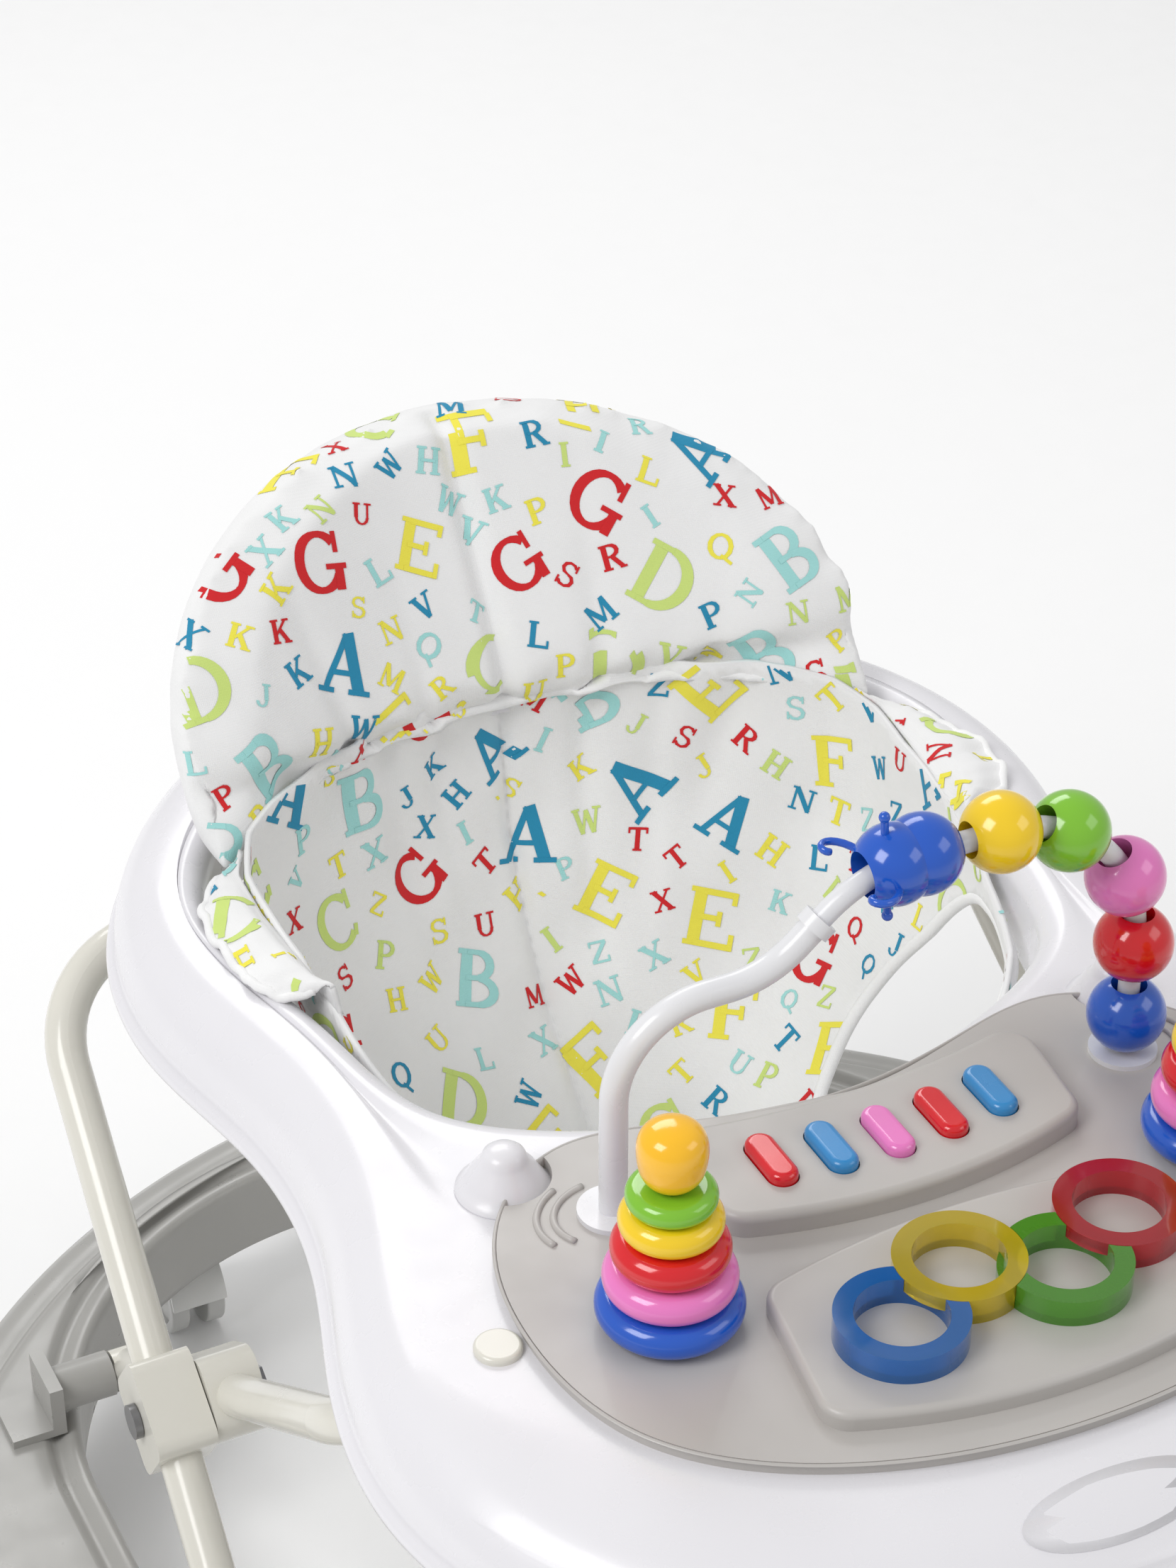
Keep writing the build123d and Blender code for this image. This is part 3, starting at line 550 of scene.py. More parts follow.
def well_reach(angle):
    """Distance from the opening's centre to its edge, a rounded rectangle, by bisection."""
    low, high = 50.0, 330.0
    for _ in range(40):
        middle = (low + high) / 2
        x = abs(middle * math.cos(angle))
        y = abs(middle * math.sin(angle))
        dx = max(x - (WELL_HALF[0] - WELL_CORNER), 0)
        dy = max(y - (WELL_HALF[1] - WELL_CORNER), 0)
        if math.hypot(dx, dy) < WELL_CORNER:
            low = middle
        else:
            high = middle
    return low


ring_angles = np.linspace(0, 2 * math.pi, RING_COUNT, endpoint=False)
well = np.array([
    (well_reach(a) * math.cos(a), WELL_Y + well_reach(a) * math.sin(a)) for a in ring_angles
])
rim_out = []
for a in ring_angles:
    c, q = math.cos(a), math.sin(a)
    half_b = WELL_Y * q
    reach = -half_b + math.sqrt(half_b**2 - WELL_Y**2 + RING_RADIUS**2)
    rim_out.append((reach * c, WELL_Y + reach * q))
rim_out = np.array(rim_out)
ring_rings = [at_height(inset_loop(rim_out, inset), z) for inset, z in OUTSIDE_RINGS]
band_out = inset_loop(rim_out, 29.0)
band_in = inset_loop(well, -17.0)
for share, z in ((0.33, 91.0), (0.66, 91.0), (1.0, 90.8)):
    ring_rings.append(at_height(band_out * (1 - share) + band_in * share, z))
ring_rings += [at_height(inset_loop(well, inset), z) for inset, z in WELL_RINGS]
ring_rings.append(at_height(band_in, 84.6))
ring_rings.append(at_height(band_out, 84.6))
ring_rings.append(at_height(inset_loop(rim_out, 8.0), 80.0))
ring_rings.append(at_height(inset_loop(rim_out, 3.4), 68.0))
ring_piece = lofted("base_moulding", ring_rings, [base_grey], closed_profile=True)
finish_piece(ring_piece, "base", ["base_ring"])
for number in range(8):
    turn = math.radians(22.5 + 45 * number)
    boss = turned(
        f"caster_boss_{number + 1}",
        (CASTER_REACH * math.cos(turn), CASTER_REACH * math.sin(turn), 0),
        CASTER_BOSS,
        [base_grey],
    )
    finish_piece(boss, "base")

# ---- toy console details
CONSOLE_HALF = (
    (0, -98), (58, -88), (100, -82), (134, -106), (151, -165), (137, -222), (85, -261),
    (0, -277),
)
STAGE_TOP = 380.0
console_edge = periodic_curve(mirrored(CONSOLE_HALF), 240)
console_front = smoothstep((-150 - console_edge[:, 1]) / 90)
wall_drop = 15 * console_front + 1.0
wall_out = 4.0 * console_front + 0.4
skirt_rings = []
for share, lift in ((-1.2, -0.6), (-0.75, 0.0), (-0.3, -0.25), (0.0, -1.2)):
    lip = inset_loop(console_edge, -1.4 * share - 0.2)
    skirt_rings.append(at_height(lip, STAGE_TOP + 0.15 + lift))
for share in (0.25, 0.6, 1.0):
    skirt_rings.append(
        at_height(
            inset_loop(console_edge, -0.2 - wall_out * share),
            STAGE_TOP - 1.2 - (wall_drop + 3) * share,
        )
    )
console_skirt = lofted("console_skirt", skirt_rings, [console_grey])
finish_piece(console_skirt, "tray")

ARCH_FEET = {"left": (-99, -121), "right": (106, -121)}
# two curved ridges beside each foot of the arch
for name, (foot_x, foot_y) in ARCH_FEET.items():
    side = -1 if name == "left" else 1
    for number, (reach, start, stop) in enumerate(((21, 100, 210), (27, 120, 200))):
        ridge = []
        for k in range(19):
            turn = math.radians(start + (stop - start) * k / 18)
            ridge.append((
                (foot_x - side * reach * math.cos(turn)) * MM,
                (foot_y + reach * math.sin(turn) * 0.8) * MM,
                (STAGE_TOP + 0.1) * MM,
            ))
        crescent = tube(f"crescent_{name}_{number + 1}", ridge, 0.0013, [console_grey], 8)
        finish_piece(crescent, "tray")


def laid_on(target, name, place, half, height, materials):
    """A low plain oval that follows the surface under it."""
    data = target.data
    bvh = BVHTree.FromPolygons([v.co for v in data.vertices], [p.vertices for p in data.polygons])
    rings = []
    for share, lift in (
        (1.0, -0.4), (0.99, 0.5), (0.96, 0.9), (0.9, 1.0), (0.5, 1.0), (0.03, 1.0),
    ):
        ring = []
        for k in range(64):
            turn = 2 * math.pi * k / 64
            x = (place[0] + half[0] * share * math.cos(turn)) * MM
            y = (place[1] + half[1] * share * math.sin(turn)) * MM
            hit, normal, _, _ = bvh.ray_cast(Vector((x, y, 0.45)), Vector((0, 0, -1)))
            ring.append(hit + normal * height * lift * MM)
        rings.append(ring)
    return lofted(name, rings, materials, caps=True)


oval = laid_on(tray, "front_oval", (-15, -305), (34, 12), 0.9, [tray_white])
finish_piece(oval, "tray")


# ---- feelers on the first bead
head_low, head_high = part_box("bead_1")
head = (head_low + head_high) / 2
for side, name in ((-1, "near"), (1, "far")):
    curl = [
        head + Vector((x * MM, side * y * MM, z * MM))
        for x, y, z in (
            (-9, 9, -2), (-11, 14, -1), (-14.5, 18, 0.5), (-18.5, 20.5, 1), (-22, 20, 1.5),
            (-24, 17.5, 1.5), (-23, 15, 1), (-20.5, 14.6, 0.5),
        )
    ]
    feeler = tube(f"feeler_{name}", curl, 0.0015, [toy["blue"]], 10)
    smoother = feeler.modifiers.new("smooth", "SUBSURF")
    smoother.levels = smoother.render_levels = 1
    finish_piece(feeler, "bead_1")


# ---- cloth simulation
def simulated(source, name, voxel, pressure, cap, frames=20):
    """A pad swollen by cloth pressure from a copy of a CAD solid."""
    data = source.data.copy()
    data.name = name
    obj = bpy.data.objects.new(name, data)
    bpy.context.scene.collection.objects.link(obj)
    view_layer = bpy.context.view_layer
    view_layer.objects.active = obj
    remesh = obj.modifiers.new("remesh", "REMESH")
    remesh.mode = "VOXEL"
    remesh.voxel_size = voxel
    remesh.use_smooth_shade = True
    body = apply_modifiers(obj)
    bm = bmesh.new()
    bm.from_mesh(body)
    for _ in range(6):
        bmesh.ops.smooth_vert(
            bm, verts=bm.verts, factor=0.5, use_axis_x=True, use_axis_y=True, use_axis_z=True
        )
    bm.to_mesh(body)
    bm.free()
    rest = np.array([v.co for v in body.vertices])
    cloth = obj.modifiers.new("cloth", "CLOTH")
    cloth.settings.use_pressure = True
    cloth.settings.uniform_pressure_force = pressure
    cloth.settings.quality = 5
    cloth.settings.tension_stiffness = 40
    cloth.settings.compression_stiffness = 20
    cloth.settings.shear_stiffness = 10
    cloth.settings.bending_stiffness = 6
    cloth.settings.effector_weights.gravity = 0
    cloth.point_cache.frame_start = 1
    cloth.point_cache.frame_end = frames
    for number in range(1, frames + 1):
        bpy.context.scene.frame_set(number)
    depsgraph = bpy.context.evaluated_depsgraph_get()
    swollen = np.array([v.co for v in obj.evaluated_get(depsgraph).data.vertices])
    obj.modifiers.clear()
    bpy.context.scene.frame_set(1)
    move = swollen - rest
    size = np.linalg.norm(move, axis=1)[:, None]
    move *= np.minimum(1, cap / np.maximum(size, 1e-9))
    body.vertices.foreach_set("co", (rest + move).ravel())
    obj.modifiers.new("finer", "SUBSURF").levels = 1
    shade_smooth(apply_modifiers(obj))
    return obj


def move_points(obj, function):
    """Each vertex moved along its normal by function(points, normals), in metres."""
    data = obj.data
    points = np.array([v.co for v in data.vertices])
    normals = np.array([v.normal for v in data.vertices])
    moved = points + normals * function(points, normals)[:, None]
    data.vertices.foreach_set("co", moved.ravel())
    data.update()


def set_materials(obj, *materials):
    obj.data.materials.clear()
    for mat in materials:
        obj.data.materials.append(mat)


# ---- back pad
LEAN = math.radians(57)  # the pad's face above the horizontal
up_slope = np.array([0, math.cos(LEAN), math.sin(LEAN)])
to_child = np.array([0, -math.sin(LEAN), math.cos(LEAN)])
pad_foot = np.array([0, 0.172, 0.380])
pad = simulated(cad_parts["back_pad"], "back_cushion", 0.005, 4.0, 0.007)


def pad_relief(points, normals):
    """Centre seam, tucks that rise from the fold, and slack hollows."""
    local = points - pad_foot
    across = points[:, 0] / MM
    height = local @ up_slope / MM
    front = smoothstep((normals @ to_child - 0.1) / 0.5)
    seam = -4.2 * np.exp(-((across / 4.5) ** 2)) * smoothstep((142 - height) / 12)
    tucks = np.zeros(len(points))
    for place, slope, depth, width, reach in (
        (-69, -0.25, 4.5, 6, 55), (-34, -0.06, 3.2, 5, 38), (40, 0.1, 4.5, 6, 60),
        (84, 0.3, 3.0, 6, 34), (-104, -0.4, 3.0, 7, 34),
    ):
        line = place + slope * height
        tucks -= depth * np.exp(-(((across - line) / width) ** 2)) * np.exp(-height / reach * 1.4)
    waves = 1.5 * np.sin(across / 19 + height / 34) * np.sin(height / 24 + 1.2)
    fold = -6.0 * np.exp(-((height - 2) / 9) ** 2)
    return (seam + tucks + waves + fold) * front * MM


move_points(pad, pad_relief)
set_materials(pad, cloth_white)
finish_piece(pad, "tray", ["back_pad"])

# ---- seat sling
SLING_CENTRE = (0.0, 55.0)
SLING_DEPTH = 183.0
RIM_LEVEL = 378  # height the sling's depth is counted from
SWELL_TOWARDS = 420.0  # height on the middle axis that the wadding swells towards
# half of the rim from above: (x, y, z)
RIM_HALF = (
    (0, -80, 350), (58, -71, 350), (98, -50, 351), (124, -22, 354), (133, 10, 362),
    (136, 38, 372), (140, 66, 377), (143, 95, 379), (143, 118, 383), (134, 138, 388),
    (118, 151, 391), (101, 161, 392), (73, 171, 393), (40, 181, 394), (0, 187, 394),
)
rim_full = np.array(list(RIM_HALF) + [(-x, y, z) for x, y, z in RIM_HALF[-2:0:-1]], float)
rim_angle = np.arctan2(rim_full[:, 1] - SLING_CENTRE[1], rim_full[:, 0])
rim_reach = np.hypot(rim_full[:, 0], rim_full[:, 1] - SLING_CENTRE[1])
rim_order = np.argsort(rim_angle)
# share of the half-width and of the depth, from the rim to the bottom
SLING_PROFILE = np.array([
    (1.0, 0.0), (0.99, 0.12), (0.935, 0.3), (0.8, 0.5), (0.64, 0.65), (0.5, 0.755),
    (0.34, 0.85), (0.16, 0.93), (0.0, 0.955),
])


def arc_length(points):
    """Length along a line of points, at each point."""
    return np.concatenate([[0], np.cumsum(np.linalg.norm(np.diff(points, axis=0), axis=1))])


profile_arc = arc_length(SLING_PROFILE * np.array([130.0, SLING_DEPTH]))
SLING_ARC = profile_arc[-1]
PROFILE_FINE = 400


def smooth_profile():
    """The profile with its corners averaged away: arc share, width share, depth share."""
    fine = np.linspace(0, SLING_ARC, PROFILE_FINE)
    width = np.interp(fine, profile_arc, SLING_PROFILE[:, 0])
    depth = np.interp(fine, profile_arc, SLING_PROFILE[:, 1])
    kernel = np.hanning(61)
    kernel /= kernel.sum()
    pad_width = np.pad(width, 30, mode="reflect", reflect_type="odd")
    pad_depth = np.pad(depth, 30, mode="reflect", reflect_type="odd")
    return (
        fine / SLING_ARC,
        np.convolve(pad_width, kernel, "valid"),
        np.convolve(pad_depth, kernel, "valid"),
    )


profile_share, profile_width, profile_depth = smooth_profile()


def sling_point(u, v):
    """A point of the sling, in millimetres, from its flat disc: the rim is at radius 1."""
    radius = np.hypot(u, v)
    angle = np.arctan2(v, u)
    down = 1 - radius
    width = np.interp(down, profile_share, profile_width)
    depth = np.interp(down, profile_share, profile_depth)
    reach = np.interp(angle, rim_angle[rim_order], rim_reach[rim_order], period=2 * math.pi)
    height = np.interp(angle, rim_angle[rim_order], rim_full[rim_order, 2], period=2 * math.pi)
    x = SLING_CENTRE[0] + reach * width * np.cos(angle)
    y = SLING_CENTRE[1] + reach * width * np.sin(angle)
    low = RIM_LEVEL - SLING_DEPTH * depth
    z = low + (height - RIM_LEVEL) * np.clip(1 - depth / 0.55, 0, 1)
    return np.stack([x, y, z], -1)


# leg holes on the flat disc: direction, distance of the middle, and half sizes
HOLE_ANGLE = math.radians(-37)
HOLE_CENTRE = 0.64
HOLE_RADIAL = 0.315
HOLE_ACROSS = 0.4
HOLE_POWER = 0.7  # 1 is an ellipse, less is squarer


def leg_hole(side, count=96, grow=0.0):
    """Rounded hole in the flat disc for one leg."""
    loop = []
    angle = HOLE_ANGLE if side > 0 else math.pi - HOLE_ANGLE
    along = np.array([math.cos(angle), math.sin(angle)])
    across = np.array([-along[1], along[0]])
    for k in range(count):
        turn = 2 * math.pi * k / count
        c, s = math.cos(turn), math.sin(turn)
        loop.append(
            along * (HOLE_CENTRE + (HOLE_RADIAL + grow) * math.copysign(abs(c) ** HOLE_POWER, c))
            + across * (HOLE_ACROSS + grow) * math.copysign(abs(s) ** HOLE_POWER, s)
        )
    return np.array(loop)


def inside_loop(points, loop):
    """Whether each point is inside the closed loop."""
    result = np.zeros(len(points), bool)
    for (x0, y0), (x1, y1) in zip(loop, np.roll(loop, -1, 0)):
        crosses = (y0 > points[:, 1]) != (y1 > points[:, 1])
        at = x0 + (points[:, 1] - y0) / (y1 - y0 if y1 != y0 else 1e-12) * (x1 - x0)
        result ^= crosses & (points[:, 0] < at)
    return result


def sling_mesh():
    """Triangles over the flat disc, with the leg holes left out."""
    rim = [(math.cos(a), math.sin(a)) for a in np.linspace(0, 2 * math.pi, 260, endpoint=False)]
    holes = [leg_hole(1), leg_hole(-1)]
    step = 0.017
    grid = [
        (i * step + (0.5 * step if j % 2 else 0), j * step * 0.866)
        for j in range(-70, 71)
        for i in range(-60, 61)
    ]
    grid = np.array(grid)
    keep = np.hypot(grid[:, 0], grid[:, 1]) < 1 - step * 0.6
    for side in (1, -1):
        keep &= ~inside_loop(grid, leg_hole(side, 96, step * 0.6))
    grid = grid[keep]
    points, edges = list(rim), []
    edges += [(k, (k + 1) % len(rim)) for k in range(len(rim))]
    for loop in holes:
        first = len(points)
        points += [tuple(p) for p in loop]
        edges += [(first + k, first + (k + 1) % len(loop)) for k in range(len(loop))]
    points += [tuple(p) for p in grid]
    made = geometry.delaunay_2d_cdt([Vector(p) for p in points], edges, [], 0, 1e-6)
    flat = np.array([tuple(p) for p in made[0]])
    faces = [tuple(f) for f in made[2]]
    middle = np.array([flat[list(f)].mean(0) for f in faces])
    bad = inside_loop(middle, holes[0]) | inside_loop(middle, holes[1])
    bad |= np.hypot(middle[:, 0], middle[:, 1]) > 1.0
    return flat, [f for f, b in zip(faces, bad) if not b]


def sling_relief(flat, points):
    """Inward swell of the wadding between the seams, with tucks under the fold."""
    down = 1 - np.hypot(flat[:, 0], flat[:, 1])
    across = points[:, 0]
    behind = smoothstep((points[:, 1] - 40) / 60)
    swell = 3.0 * np.minimum(1, np.abs(across) / 26) ** 0.6
    seam = -3.2 * np.exp(-((across / 3.4) ** 2))
    tucks = np.zeros(len(flat))
    for place, spread, depth, width, reach in (
        (-88, 0.8, 3.0, 8, 0.3), (-62, 0.66, 4.0, 7, 0.45), (-34, 0.5, 3.0, 6, 0.3),
        (38, 0.55, 4.2, 7, 0.5), (72, 0.7, 3.0, 8, 0.35), (104, 0.9, 3.0, 9, 0.3),
    ):
        line = place * (1 - down * spread)
        tucks -= depth * np.exp(-(((across - line) / width) ** 2)) * np.exp(-((down / reach) ** 2))
    waves = 1.4 * np.sin(across / 13 + down * 9) * np.sin(down * 14 + across / 40)
    rim_roll = 0.8 * np.exp(-((down / 0.04) ** 2))
    ripple = 1.0 * np.sin(across / 9) * (1 - behind)
    return (swell + seam + tucks + waves) * behind + rim_roll + ripple


def sheet_solid(name, points, faces, thickness, materials):
    """A sheet given its thickness, half on each side."""
    obj = mesh_object(name, points, faces, materials)
    solid = obj.modifiers.new("thick", "SOLIDIFY")
    solid.thickness = thickness
    solid.offset = 0
    solid.use_even_offset = False
    shade_smooth(apply_modifiers(obj))
    return obj


flat, sling_faces = sling_mesh()
sling_mm = sling_point(flat[:, 0], flat[:, 1])
inward = np.array([*SLING_CENTRE, SWELL_TOWARDS]) - sling_mm
inward[:, 2] *= 0.4
inward /= np.linalg.norm(inward, axis=1)[:, None]
sling_mm = sling_mm + inward * sling_relief(flat, sling_mm)[:, None]
sling = sheet_solid("seat_cloth", sling_mm * MM, sling_faces, 0.0024, [cloth_white])
finish_piece(sling, "tray", ["seat_sling"])
for side, name in ((-1, "left"), (1, "right")):
    loop = leg_hole(side)
    path = sling_point(loop[:, 0], loop[:, 1]) * MM
    hem = tube(f"leg_hem_{name}", path, 0.0028, [hem_white], closed=True)
    finish_piece(hem, "tray")

# ---- wings over the rim
# outer edge of each wing from above, from the back forwards
WING_EDGE = {
    -1: (
        (-140, 128), (-152, 122), (-161, 109), (-163, 94), (-162, 71), (-160, 52), (-152, 44),
        (-141, 41),
    ),
    1: (
        (140, 124), (154, 118), (163, 100), (169, 80), (167, 60), (160, 48), (146, 43),
        (138, 42),
    ),
}
# where a wing leaves the seat's rim: distance from the middle and height, along y
ROOT_Y = (30, 38, 66, 95, 118, 137)
ROOT_X = (135, 136, 140, 143, 143, 134)
ROOT_Z = (369, 372, 377, 379, 383, 388)
WING_BACK, WING_FRONT = 130, 34
WING_HEIGHT = 382.0  # over the tray's edge


def wing(side):
    """A flap of cloth from the seat's rim over the tray, with its hem."""
    edge = np.array(WING_EDGE[side], float)
    arc = arc_length(edge)
    rows, columns = 46, 16
    wanted = np.linspace(0, arc[-1], rows)
    outer_edge = np.stack([np.interp(wanted, arc, edge[:, k]) for k in (0, 1)], 1)
    kernel = np.array([1, 2, 3, 2, 1]) / 9
    for k in (0, 1):
        padded_edge = np.pad(outer_edge[:, k], 2, mode="edge")
        outer_edge[:, k] = np.convolve(padded_edge, kernel, "valid")
    points, faces = [], []
    for i in range(rows):
        y = WING_BACK + (WING_FRONT - WING_BACK) * i / (rows - 1)
        root_x = side * (np.interp(y, ROOT_Y, ROOT_X) - 1.0)
        root_z = np.interp(y, ROOT_Y, ROOT_Z) - 0.8
        for j in range(columns):
            t = j / (columns - 1)
            x = root_x + (outer_edge[i, 0] - root_x) * t
            yy = y + (outer_edge[i, 1] - y) * t
            over = smoothstep(t / 0.3)
            rise = root_z * (1 - over) + WING_HEIGHT * over - 4.6 * smoothstep((t - 0.5) / 0.5)
            ripple = 1.1 * math.sin(i * 0.62 + side) * t + 0.5 * math.sin(i * 1.7 + j * 0.5) * t
            x += 0.5 * math.sin(i * 0.9) * t
            points.append((x * MM, yy * MM, (rise + ripple) * MM))
    for i in range(rows - 1):
        for j in range(columns - 1):
            a = i * columns + j
            quad = (a, a + 1, a + columns + 1, a + columns)
            faces.append(quad if side < 0 else quad[::-1])
    label = "left" if side < 0 else "right"
    sheet = sheet_solid(f"rim_wing_{label}", points, faces, 0.002, [cloth_white])
    finish_piece(sheet, "tray")
    border = [points[i * columns + columns - 1] for i in range(rows)]
    hem = tube(f"wing_hem_{label}", border, 0.0019, [hem_white])
    finish_piece(hem, "tray")
    return sheet


wings = [wing(-1), wing(1)]

# ---- printed letters
# Slab letters on a 100-unit height: five numbers are a bar (x0, y0, x1, y1, width),
# seven are an arc (cx, cy, rx, ry, from, to, width) in degrees.
STEM = [(22, 0, 22, 100, 22), (4, 4, 42, 4, 9), (4, 96, 42, 96, 9)]
STEM_2 = [(78, 0, 78, 100, 20), (60, 4, 98, 4, 9), (60, 96, 98, 96, 9)]
GLYPHS = {
    "A": [(16, 2, 48, 98, 11), (50, 100, 80, 2, 22), (28, 34, 70, 34, 9),
          (0, 4, 34, 4, 9), (60, 4, 100, 4, 9)],
    "B": STEM + [(44, 74, 24, 22, -90, 90, 17), (46, 27, 30, 23, -90, 90, 18),
                 (22, 96, 46, 96, 9), (22, 51, 48, 51, 9), (22, 4, 48, 4, 9)],
    "C": [(52, 50, 38, 45, 42, 318, 18), (84, 62, 84, 98, 9), (82, 10, 88, 30, 9)],
    "D": STEM + [(40, 50, 44, 46, -90, 90, 20), (22, 96, 42, 96, 9),
                 (22, 4, 42, 4, 9)],
    "E": STEM + [(22, 95, 84, 95, 11), (22, 51, 60, 51, 10), (22, 5, 88, 5, 11),
                 (82, 78, 82, 100, 9), (60, 38, 60, 64, 9), (86, 0, 86, 28, 9)],
    "F": STEM + [(22, 95, 84, 95, 11), (22, 51, 60, 51, 10), (82, 76, 82, 100, 9),
                 (60, 38, 60, 64, 9)],
    "G": [(52, 50, 38, 45, 42, 330, 18), (84, 64, 84, 98, 9), (86, 4, 86, 40, 16),
          (62, 42, 100, 42, 9)],
    "H": STEM + STEM_2 + [(22, 50, 78, 50, 11)],
    "I": STEM,
    "J": [(58, 28, 58, 100, 20), (38, 96, 80, 96, 9), (36, 26, 22, 24, 180, 360, 14)],
    "K": STEM + [(30, 40, 78, 96, 11), (44, 60, 82, 4, 20), (62, 96, 96, 96, 9),
                 (62, 4, 100, 4, 9)],
    "L": STEM + [(22, 5, 84, 5, 11), (82, 0, 82, 30, 9)],
    "M": [(14, 0, 14, 100, 10), (90, 0, 90, 100, 20), (16, 98, 52, 16, 20),
          (52, 14, 86, 98, 10), (0, 4, 30, 4, 9), (72, 4, 108, 4, 9)],
    "N": [(16, 0, 16, 100, 10), (84, 0, 84, 100, 10), (16, 98, 84, 4, 20),
          (0, 4, 34, 4, 9), (66, 96, 100, 96, 9), (0, 96, 22, 96, 9)],
    "P": STEM + [(44, 72, 30, 24, -90, 90, 18), (22, 96, 46, 96, 9),
                 (22, 48, 46, 48, 9)],
    "Q": [(50, 54, 38, 42, 0, 360, 18), (52, 22, 92, -8, 12)],
    "R": STEM + [(44, 74, 28, 22, -90, 90, 18), (22, 96, 46, 96, 9),
                 (22, 51, 46, 51, 9), (48, 50, 82, 4, 18), (70, 4, 98, 4, 9)],
    "S": [(50, 73, 27, 22, 20, 270, 15), (50, 28, 29, 23, -160, 90, 16),
          (78, 68, 78, 98, 8), (20, 4, 20, 34, 8)],
    "T": [(50, 0, 50, 98, 22), (8, 95, 92, 95, 11), (10, 74, 10, 100, 9),
          (90, 74, 90, 100, 9), (30, 4, 70, 4, 9)],
    "U": [(22, 34, 22, 100, 20), (80, 34, 80, 100, 11), (51, 34, 29, 30, 180, 360, 15),
          (4, 96, 42, 96, 9), (62, 96, 98, 96, 9)],
    "V": [(20, 98, 50, 2, 22), (50, 2, 82, 98, 11), (0, 96, 40, 96, 9),
          (64, 96, 100, 96, 9)],
    "W": [(14, 98, 34, 2, 18), (34, 2, 56, 90, 10), (56, 90, 76, 2, 18),
          (76, 2, 98, 98, 10), (0, 96, 32, 96, 9), (82, 96, 112, 96, 9)],
    "X": [(16, 98, 84, 2, 22), (16, 2, 84, 98, 10), (0, 96, 36, 96, 9),
          (66, 96, 98, 96, 9), (0, 4, 34, 4, 9), (62, 4, 100, 4, 9)],
    "Z": [(10, 95, 86, 95, 11), (10, 5, 88, 5, 11), (82, 94, 16, 6, 18),
          (10, 74, 10, 100, 9), (88, 0, 88, 28, 9)],
}
BIG_LETTERS = "GDBAEFC"
SMALL_LETTERS = "XPJWZKLVSMUTRNQHI"
RED, BLUE, YELLOW, LIME, AQUA = range(5)
BIG_INK = {"G": RED, "D": LIME, "B": AQUA, "A": BLUE, "E": YELLOW, "F": YELLOW, "C": LIME}
SMALL_INK = (RED, RED, BLUE, YELLOW, YELLOW, AQUA, LIME, BLUE, AQUA, YELLOW)


def glyph_strips(letter, size, fine):
    """The letter's strips, each a grid of flat points in metres about its own centre."""
    strips = []
    for stroke in GLYPHS[letter]:
        if len(stroke) == 5:
            x0, y0, x1, y1, width = stroke
            length = math.hypot(x1 - x0, y1 - y0) / 100 * size
            ways = max(1, round(length / fine))
            nx, ny = -(y1 - y0), x1 - x0
            norm = math.hypot(nx, ny)
            nx, ny = nx / norm * width / 2, ny / norm * width / 2
            centre = [
                (x0 + (x1 - x0) * k / ways, y0 + (y1 - y0) * k / ways) for k in range(ways + 1)
            ]
            pairs = [((x - nx, y - ny), (x, y), (x + nx, y + ny)) for x, y in centre]
        else:
            cx, cy, rx, ry, start, stop, width = stroke
            ways = max(6, round(abs(stop - start) / 360 * 2 * math.pi * rx / 100 * size / fine))
            pairs = []
            for k in range(ways + 1):
                a = math.radians(start + (stop - start) * k / ways)
                thick = width * (0.55 + 0.45 * abs(math.cos(a))) / 2
                pairs.append(tuple(
                    (cx + (rx + d) * math.cos(a), cy + (ry + d) * math.sin(a))
                    for d in (-thick, 0, thick)
                ))
        strips.append(np.array(pairs, float))
    return [(s - np.array([50, 50])) / 100 * size for s in strips]


BIG_SIZE, SMALL_SIZE = 0.0245, 0.0102  # heights of the letters
BIG_GAP, SMALL_BIG_GAP, SMALL_GAP = 0.041, 0.0215, 0.0165  # between their middles
LETTER_TRIES = 5000
STRIP_STEP = 0.0022
CAST_HEIGHT = 0.012  # rays to the cloth start this far above it
INK_LIFT = 0.00022
STRIP_LIFT = 0.00003  # so that a letter's strips don't lie in one surface
TORN = 0.0022  # a face with a step over this is left out


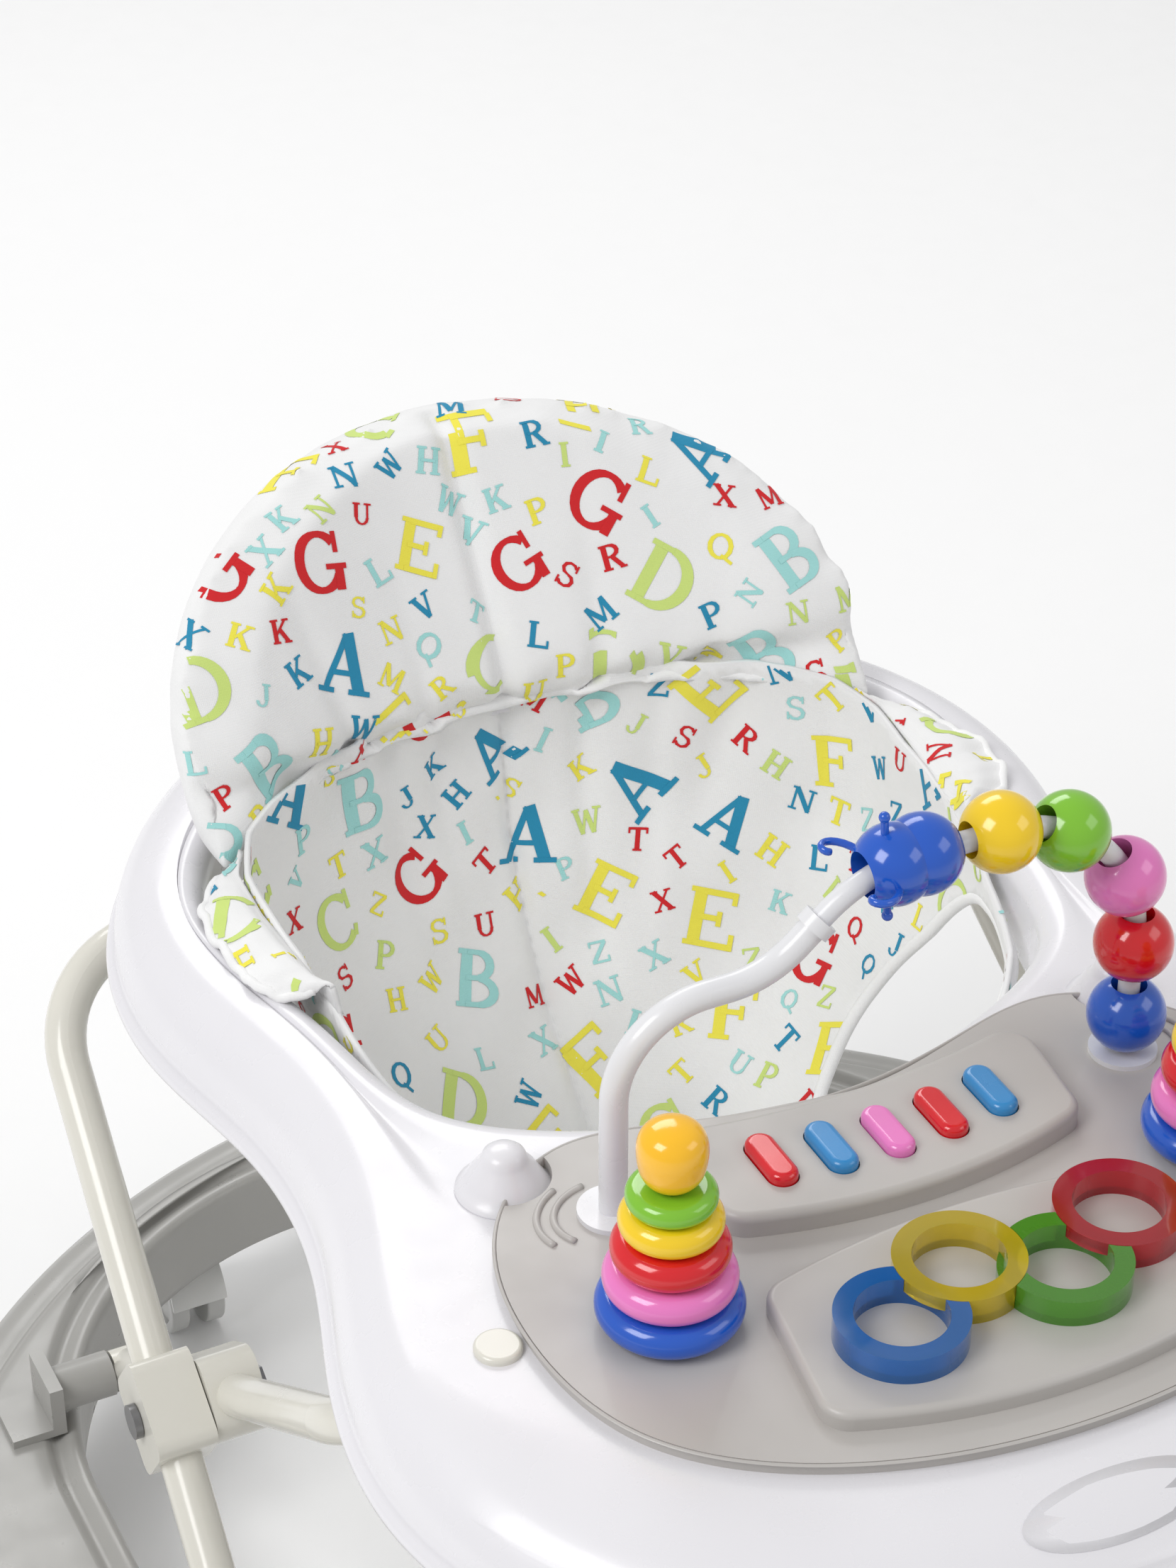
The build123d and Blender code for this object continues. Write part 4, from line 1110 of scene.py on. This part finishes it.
def print_letters(target, name, facing, up, seed):
    """Letters laid on a cloth, each carried onto its surface along the surface normal."""
    rng = np.random.default_rng(seed)
    data = target.data
    bvh = BVHTree.FromPolygons([v.co for v in data.vertices], [p.vertices for p in data.polygons])
    centres = np.array([p.center for p in data.polygons])
    normals = np.array([p.normal for p in data.polygons])
    areas = np.array([p.area for p in data.polygons])
    good = facing(centres, normals)
    centres, normals, areas = centres[good], normals[good], areas[good]
    picks = rng.choice(len(centres), LETTER_TRIES, p=areas / areas.sum())
    placed = []
    for big_now, gap_big, gap_small in ((True, BIG_GAP, 0), (False, SMALL_BIG_GAP, SMALL_GAP)):
        for pick in picks:
            p = centres[pick]
            if all(
                np.linalg.norm(p - q) > (gap_big if is_big else gap_small)
                for q, _, is_big in placed
            ):
                placed.append((p, normals[pick], big_now))
    points, faces, marks = [], [], []
    previous = -1
    for p, normal, is_big in placed:
        if is_big:
            pool = [k for k in range(len(BIG_LETTERS)) if k != previous]
            previous = int(rng.choice(pool))
            letter = BIG_LETTERS[previous]
            colour, size = BIG_INK[letter], BIG_SIZE * rng.uniform(0.9, 1.08)
        else:
            letter = SMALL_LETTERS[int(rng.integers(len(SMALL_LETTERS)))]
            colour = SMALL_INK[int(rng.integers(len(SMALL_INK)))]
            size = SMALL_SIZE * rng.uniform(0.88, 1.15)
        n = Vector(normal).normalized()
        rise = Vector(up) - n * Vector(up).dot(n)
        if rise.length < 0.05:
            rise = Vector((0, 1, 0)) - n * n.y
        rise.normalize()
        turn = rng.uniform(-0.75, 0.75)
        side_way = rise.cross(n)
        right = side_way * math.cos(turn) + rise * math.sin(turn)
        top = rise * math.cos(turn) - side_way * math.sin(turn)
        for level, strip in enumerate(glyph_strips(letter, size, STRIP_STEP)):
            rows, columns = strip.shape[:2]
            first = len(points)
            missed = set()
            for x, y in strip.reshape(-1, 2):
                start = Vector(p) + right * x + top * y + n * CAST_HEIGHT
                hit, hit_normal, _, _ = bvh.ray_cast(start, -n, 2 * CAST_HEIGHT)
                if hit is None or hit_normal.dot(n) < 0.15:
                    missed.add(len(points))
                    hit, hit_normal = Vector(p), n
                points.append(hit + hit_normal * (INK_LIFT + STRIP_LIFT * level))
            for i in range(rows - 1):
                for j in range(columns - 1):
                    a = first + i * columns + j
                    quad = (a, a + 1, a + columns + 1, a + columns)
                    torn = any(
                        abs((points[m] - points[k]).dot(n)) > TORN
                        for m, k in zip(quad, quad[1:] + quad[:1])
                    )
                    if not torn and not missed.intersection(quad):
                        faces.append(quad)
                        marks.append(colour)
    used = sorted({k for f in faces for k in f})
    new_index = {k: i for i, k in enumerate(used)}
    faces = [[new_index[k] for k in f] for f in faces]
    obj = mesh_object(name, [points[k] for k in used], faces, ink)
    for polygon, colour in zip(obj.data.polygons, marks):
        polygon.material_index = colour
    finish_piece(obj, "tray")
    return obj


def faces_child(points, normals):
    return normals @ to_child > 0.25


SEAT_MIDDLE = np.array([0, 0.055, 0.40])


def towards_middle(points, normals):
    """1 where a face looks at the middle of the seat, -1 where it looks away from it."""
    way = SEAT_MIDDLE - points
    way /= np.linalg.norm(way, axis=1)[:, None]
    return (normals * way).sum(1)


def faces_inward(points, normals):
    return towards_middle(points, normals) > 0.2


def faces_outward(points, normals):
    return towards_middle(points, normals) < -0.2


def faces_up(points, normals):
    return normals[:, 2] > 0.3


print_letters(pad, "back_print", faces_child, up_slope, 3)
print_letters(sling, "seat_print", faces_inward, (0, 0.2, 1), 5)
print_letters(sling, "seat_print_outside", faces_outward, (0, 0.2, 1), 6)
print_letters(wings[0], "wing_print_left", faces_up, (1, 0.3, 0.3), 8)
print_letters(wings[1], "wing_print_right", faces_up, (-1, 0.3, 0.3), 9)

# ---- stage, light and camera
bpy.ops.mesh.primitive_plane_add(size=14, location=(0, 0, cad_low.z - 0.0005))
floor = bpy.context.object
floor.name = "floor"
floor_pale = plastic(
    "floor_pale", (0.97, 0.97, 0.97, 1), rough=0.8, grain=40, depth=0.0, change=0.995
)
floor.data.materials.append(floor_pale)

world = bpy.data.worlds.new("studio")
bpy.context.scene.world = world
world.use_nodes = True
world.node_tree.nodes["Background"].inputs["Color"].default_value = (1, 1, 1, 1)
world.node_tree.nodes["Background"].inputs["Strength"].default_value = 0.56

AIM = Vector((0, 0, 0.3))  # all lamps point here
for name, place, power, size in (
    ("key_softbox", (-1.9, -0.4, 2.3), 34, (1.3, 1.3)),
    ("fill_softbox", (1.8, -1.6, 2.0), 10, (1.6, 1.2)),
    ("rear_softbox", (0.4, 2.2, 2.2), 20, (1.6, 1.0)),
):
    lamp = bpy.data.lights.new(name, "AREA")
    lamp.energy = power
    lamp.shape = "RECTANGLE"
    lamp.size, lamp.size_y = size
    lamp_obj = bpy.data.objects.new(name, lamp)
    lamp_obj.location = place
    lamp_obj.rotation_euler = (AIM - Vector(place)).to_track_quat("-Z", "Y").to_euler()
    bpy.context.scene.collection.objects.link(lamp_obj)
bpy.context.scene.view_settings.view_transform = "Standard"

# camera fitted to the outlines in the photograph
CAMERA_AZIMUTH = math.radians(-25.94)
CAMERA_ELEVATION = math.radians(33.42)
CAMERA_PLACE = (-0.511, -0.9485, 1.1642)
camera = bpy.data.cameras.new("camera")
camera.lens = 81.3
camera.sensor_width = 36
camera_obj = bpy.data.objects.new("camera", camera)
bpy.context.scene.collection.objects.link(camera_obj)
back = Vector((
    math.sin(CAMERA_AZIMUTH) * math.cos(CAMERA_ELEVATION),
    -math.cos(CAMERA_AZIMUTH) * math.cos(CAMERA_ELEVATION),
    math.sin(CAMERA_ELEVATION),
))
camera_obj.location = CAMERA_PLACE
camera_obj.rotation_euler = (-back).to_track_quat("-Z", "Y").to_euler()
bpy.context.scene.camera = camera_obj
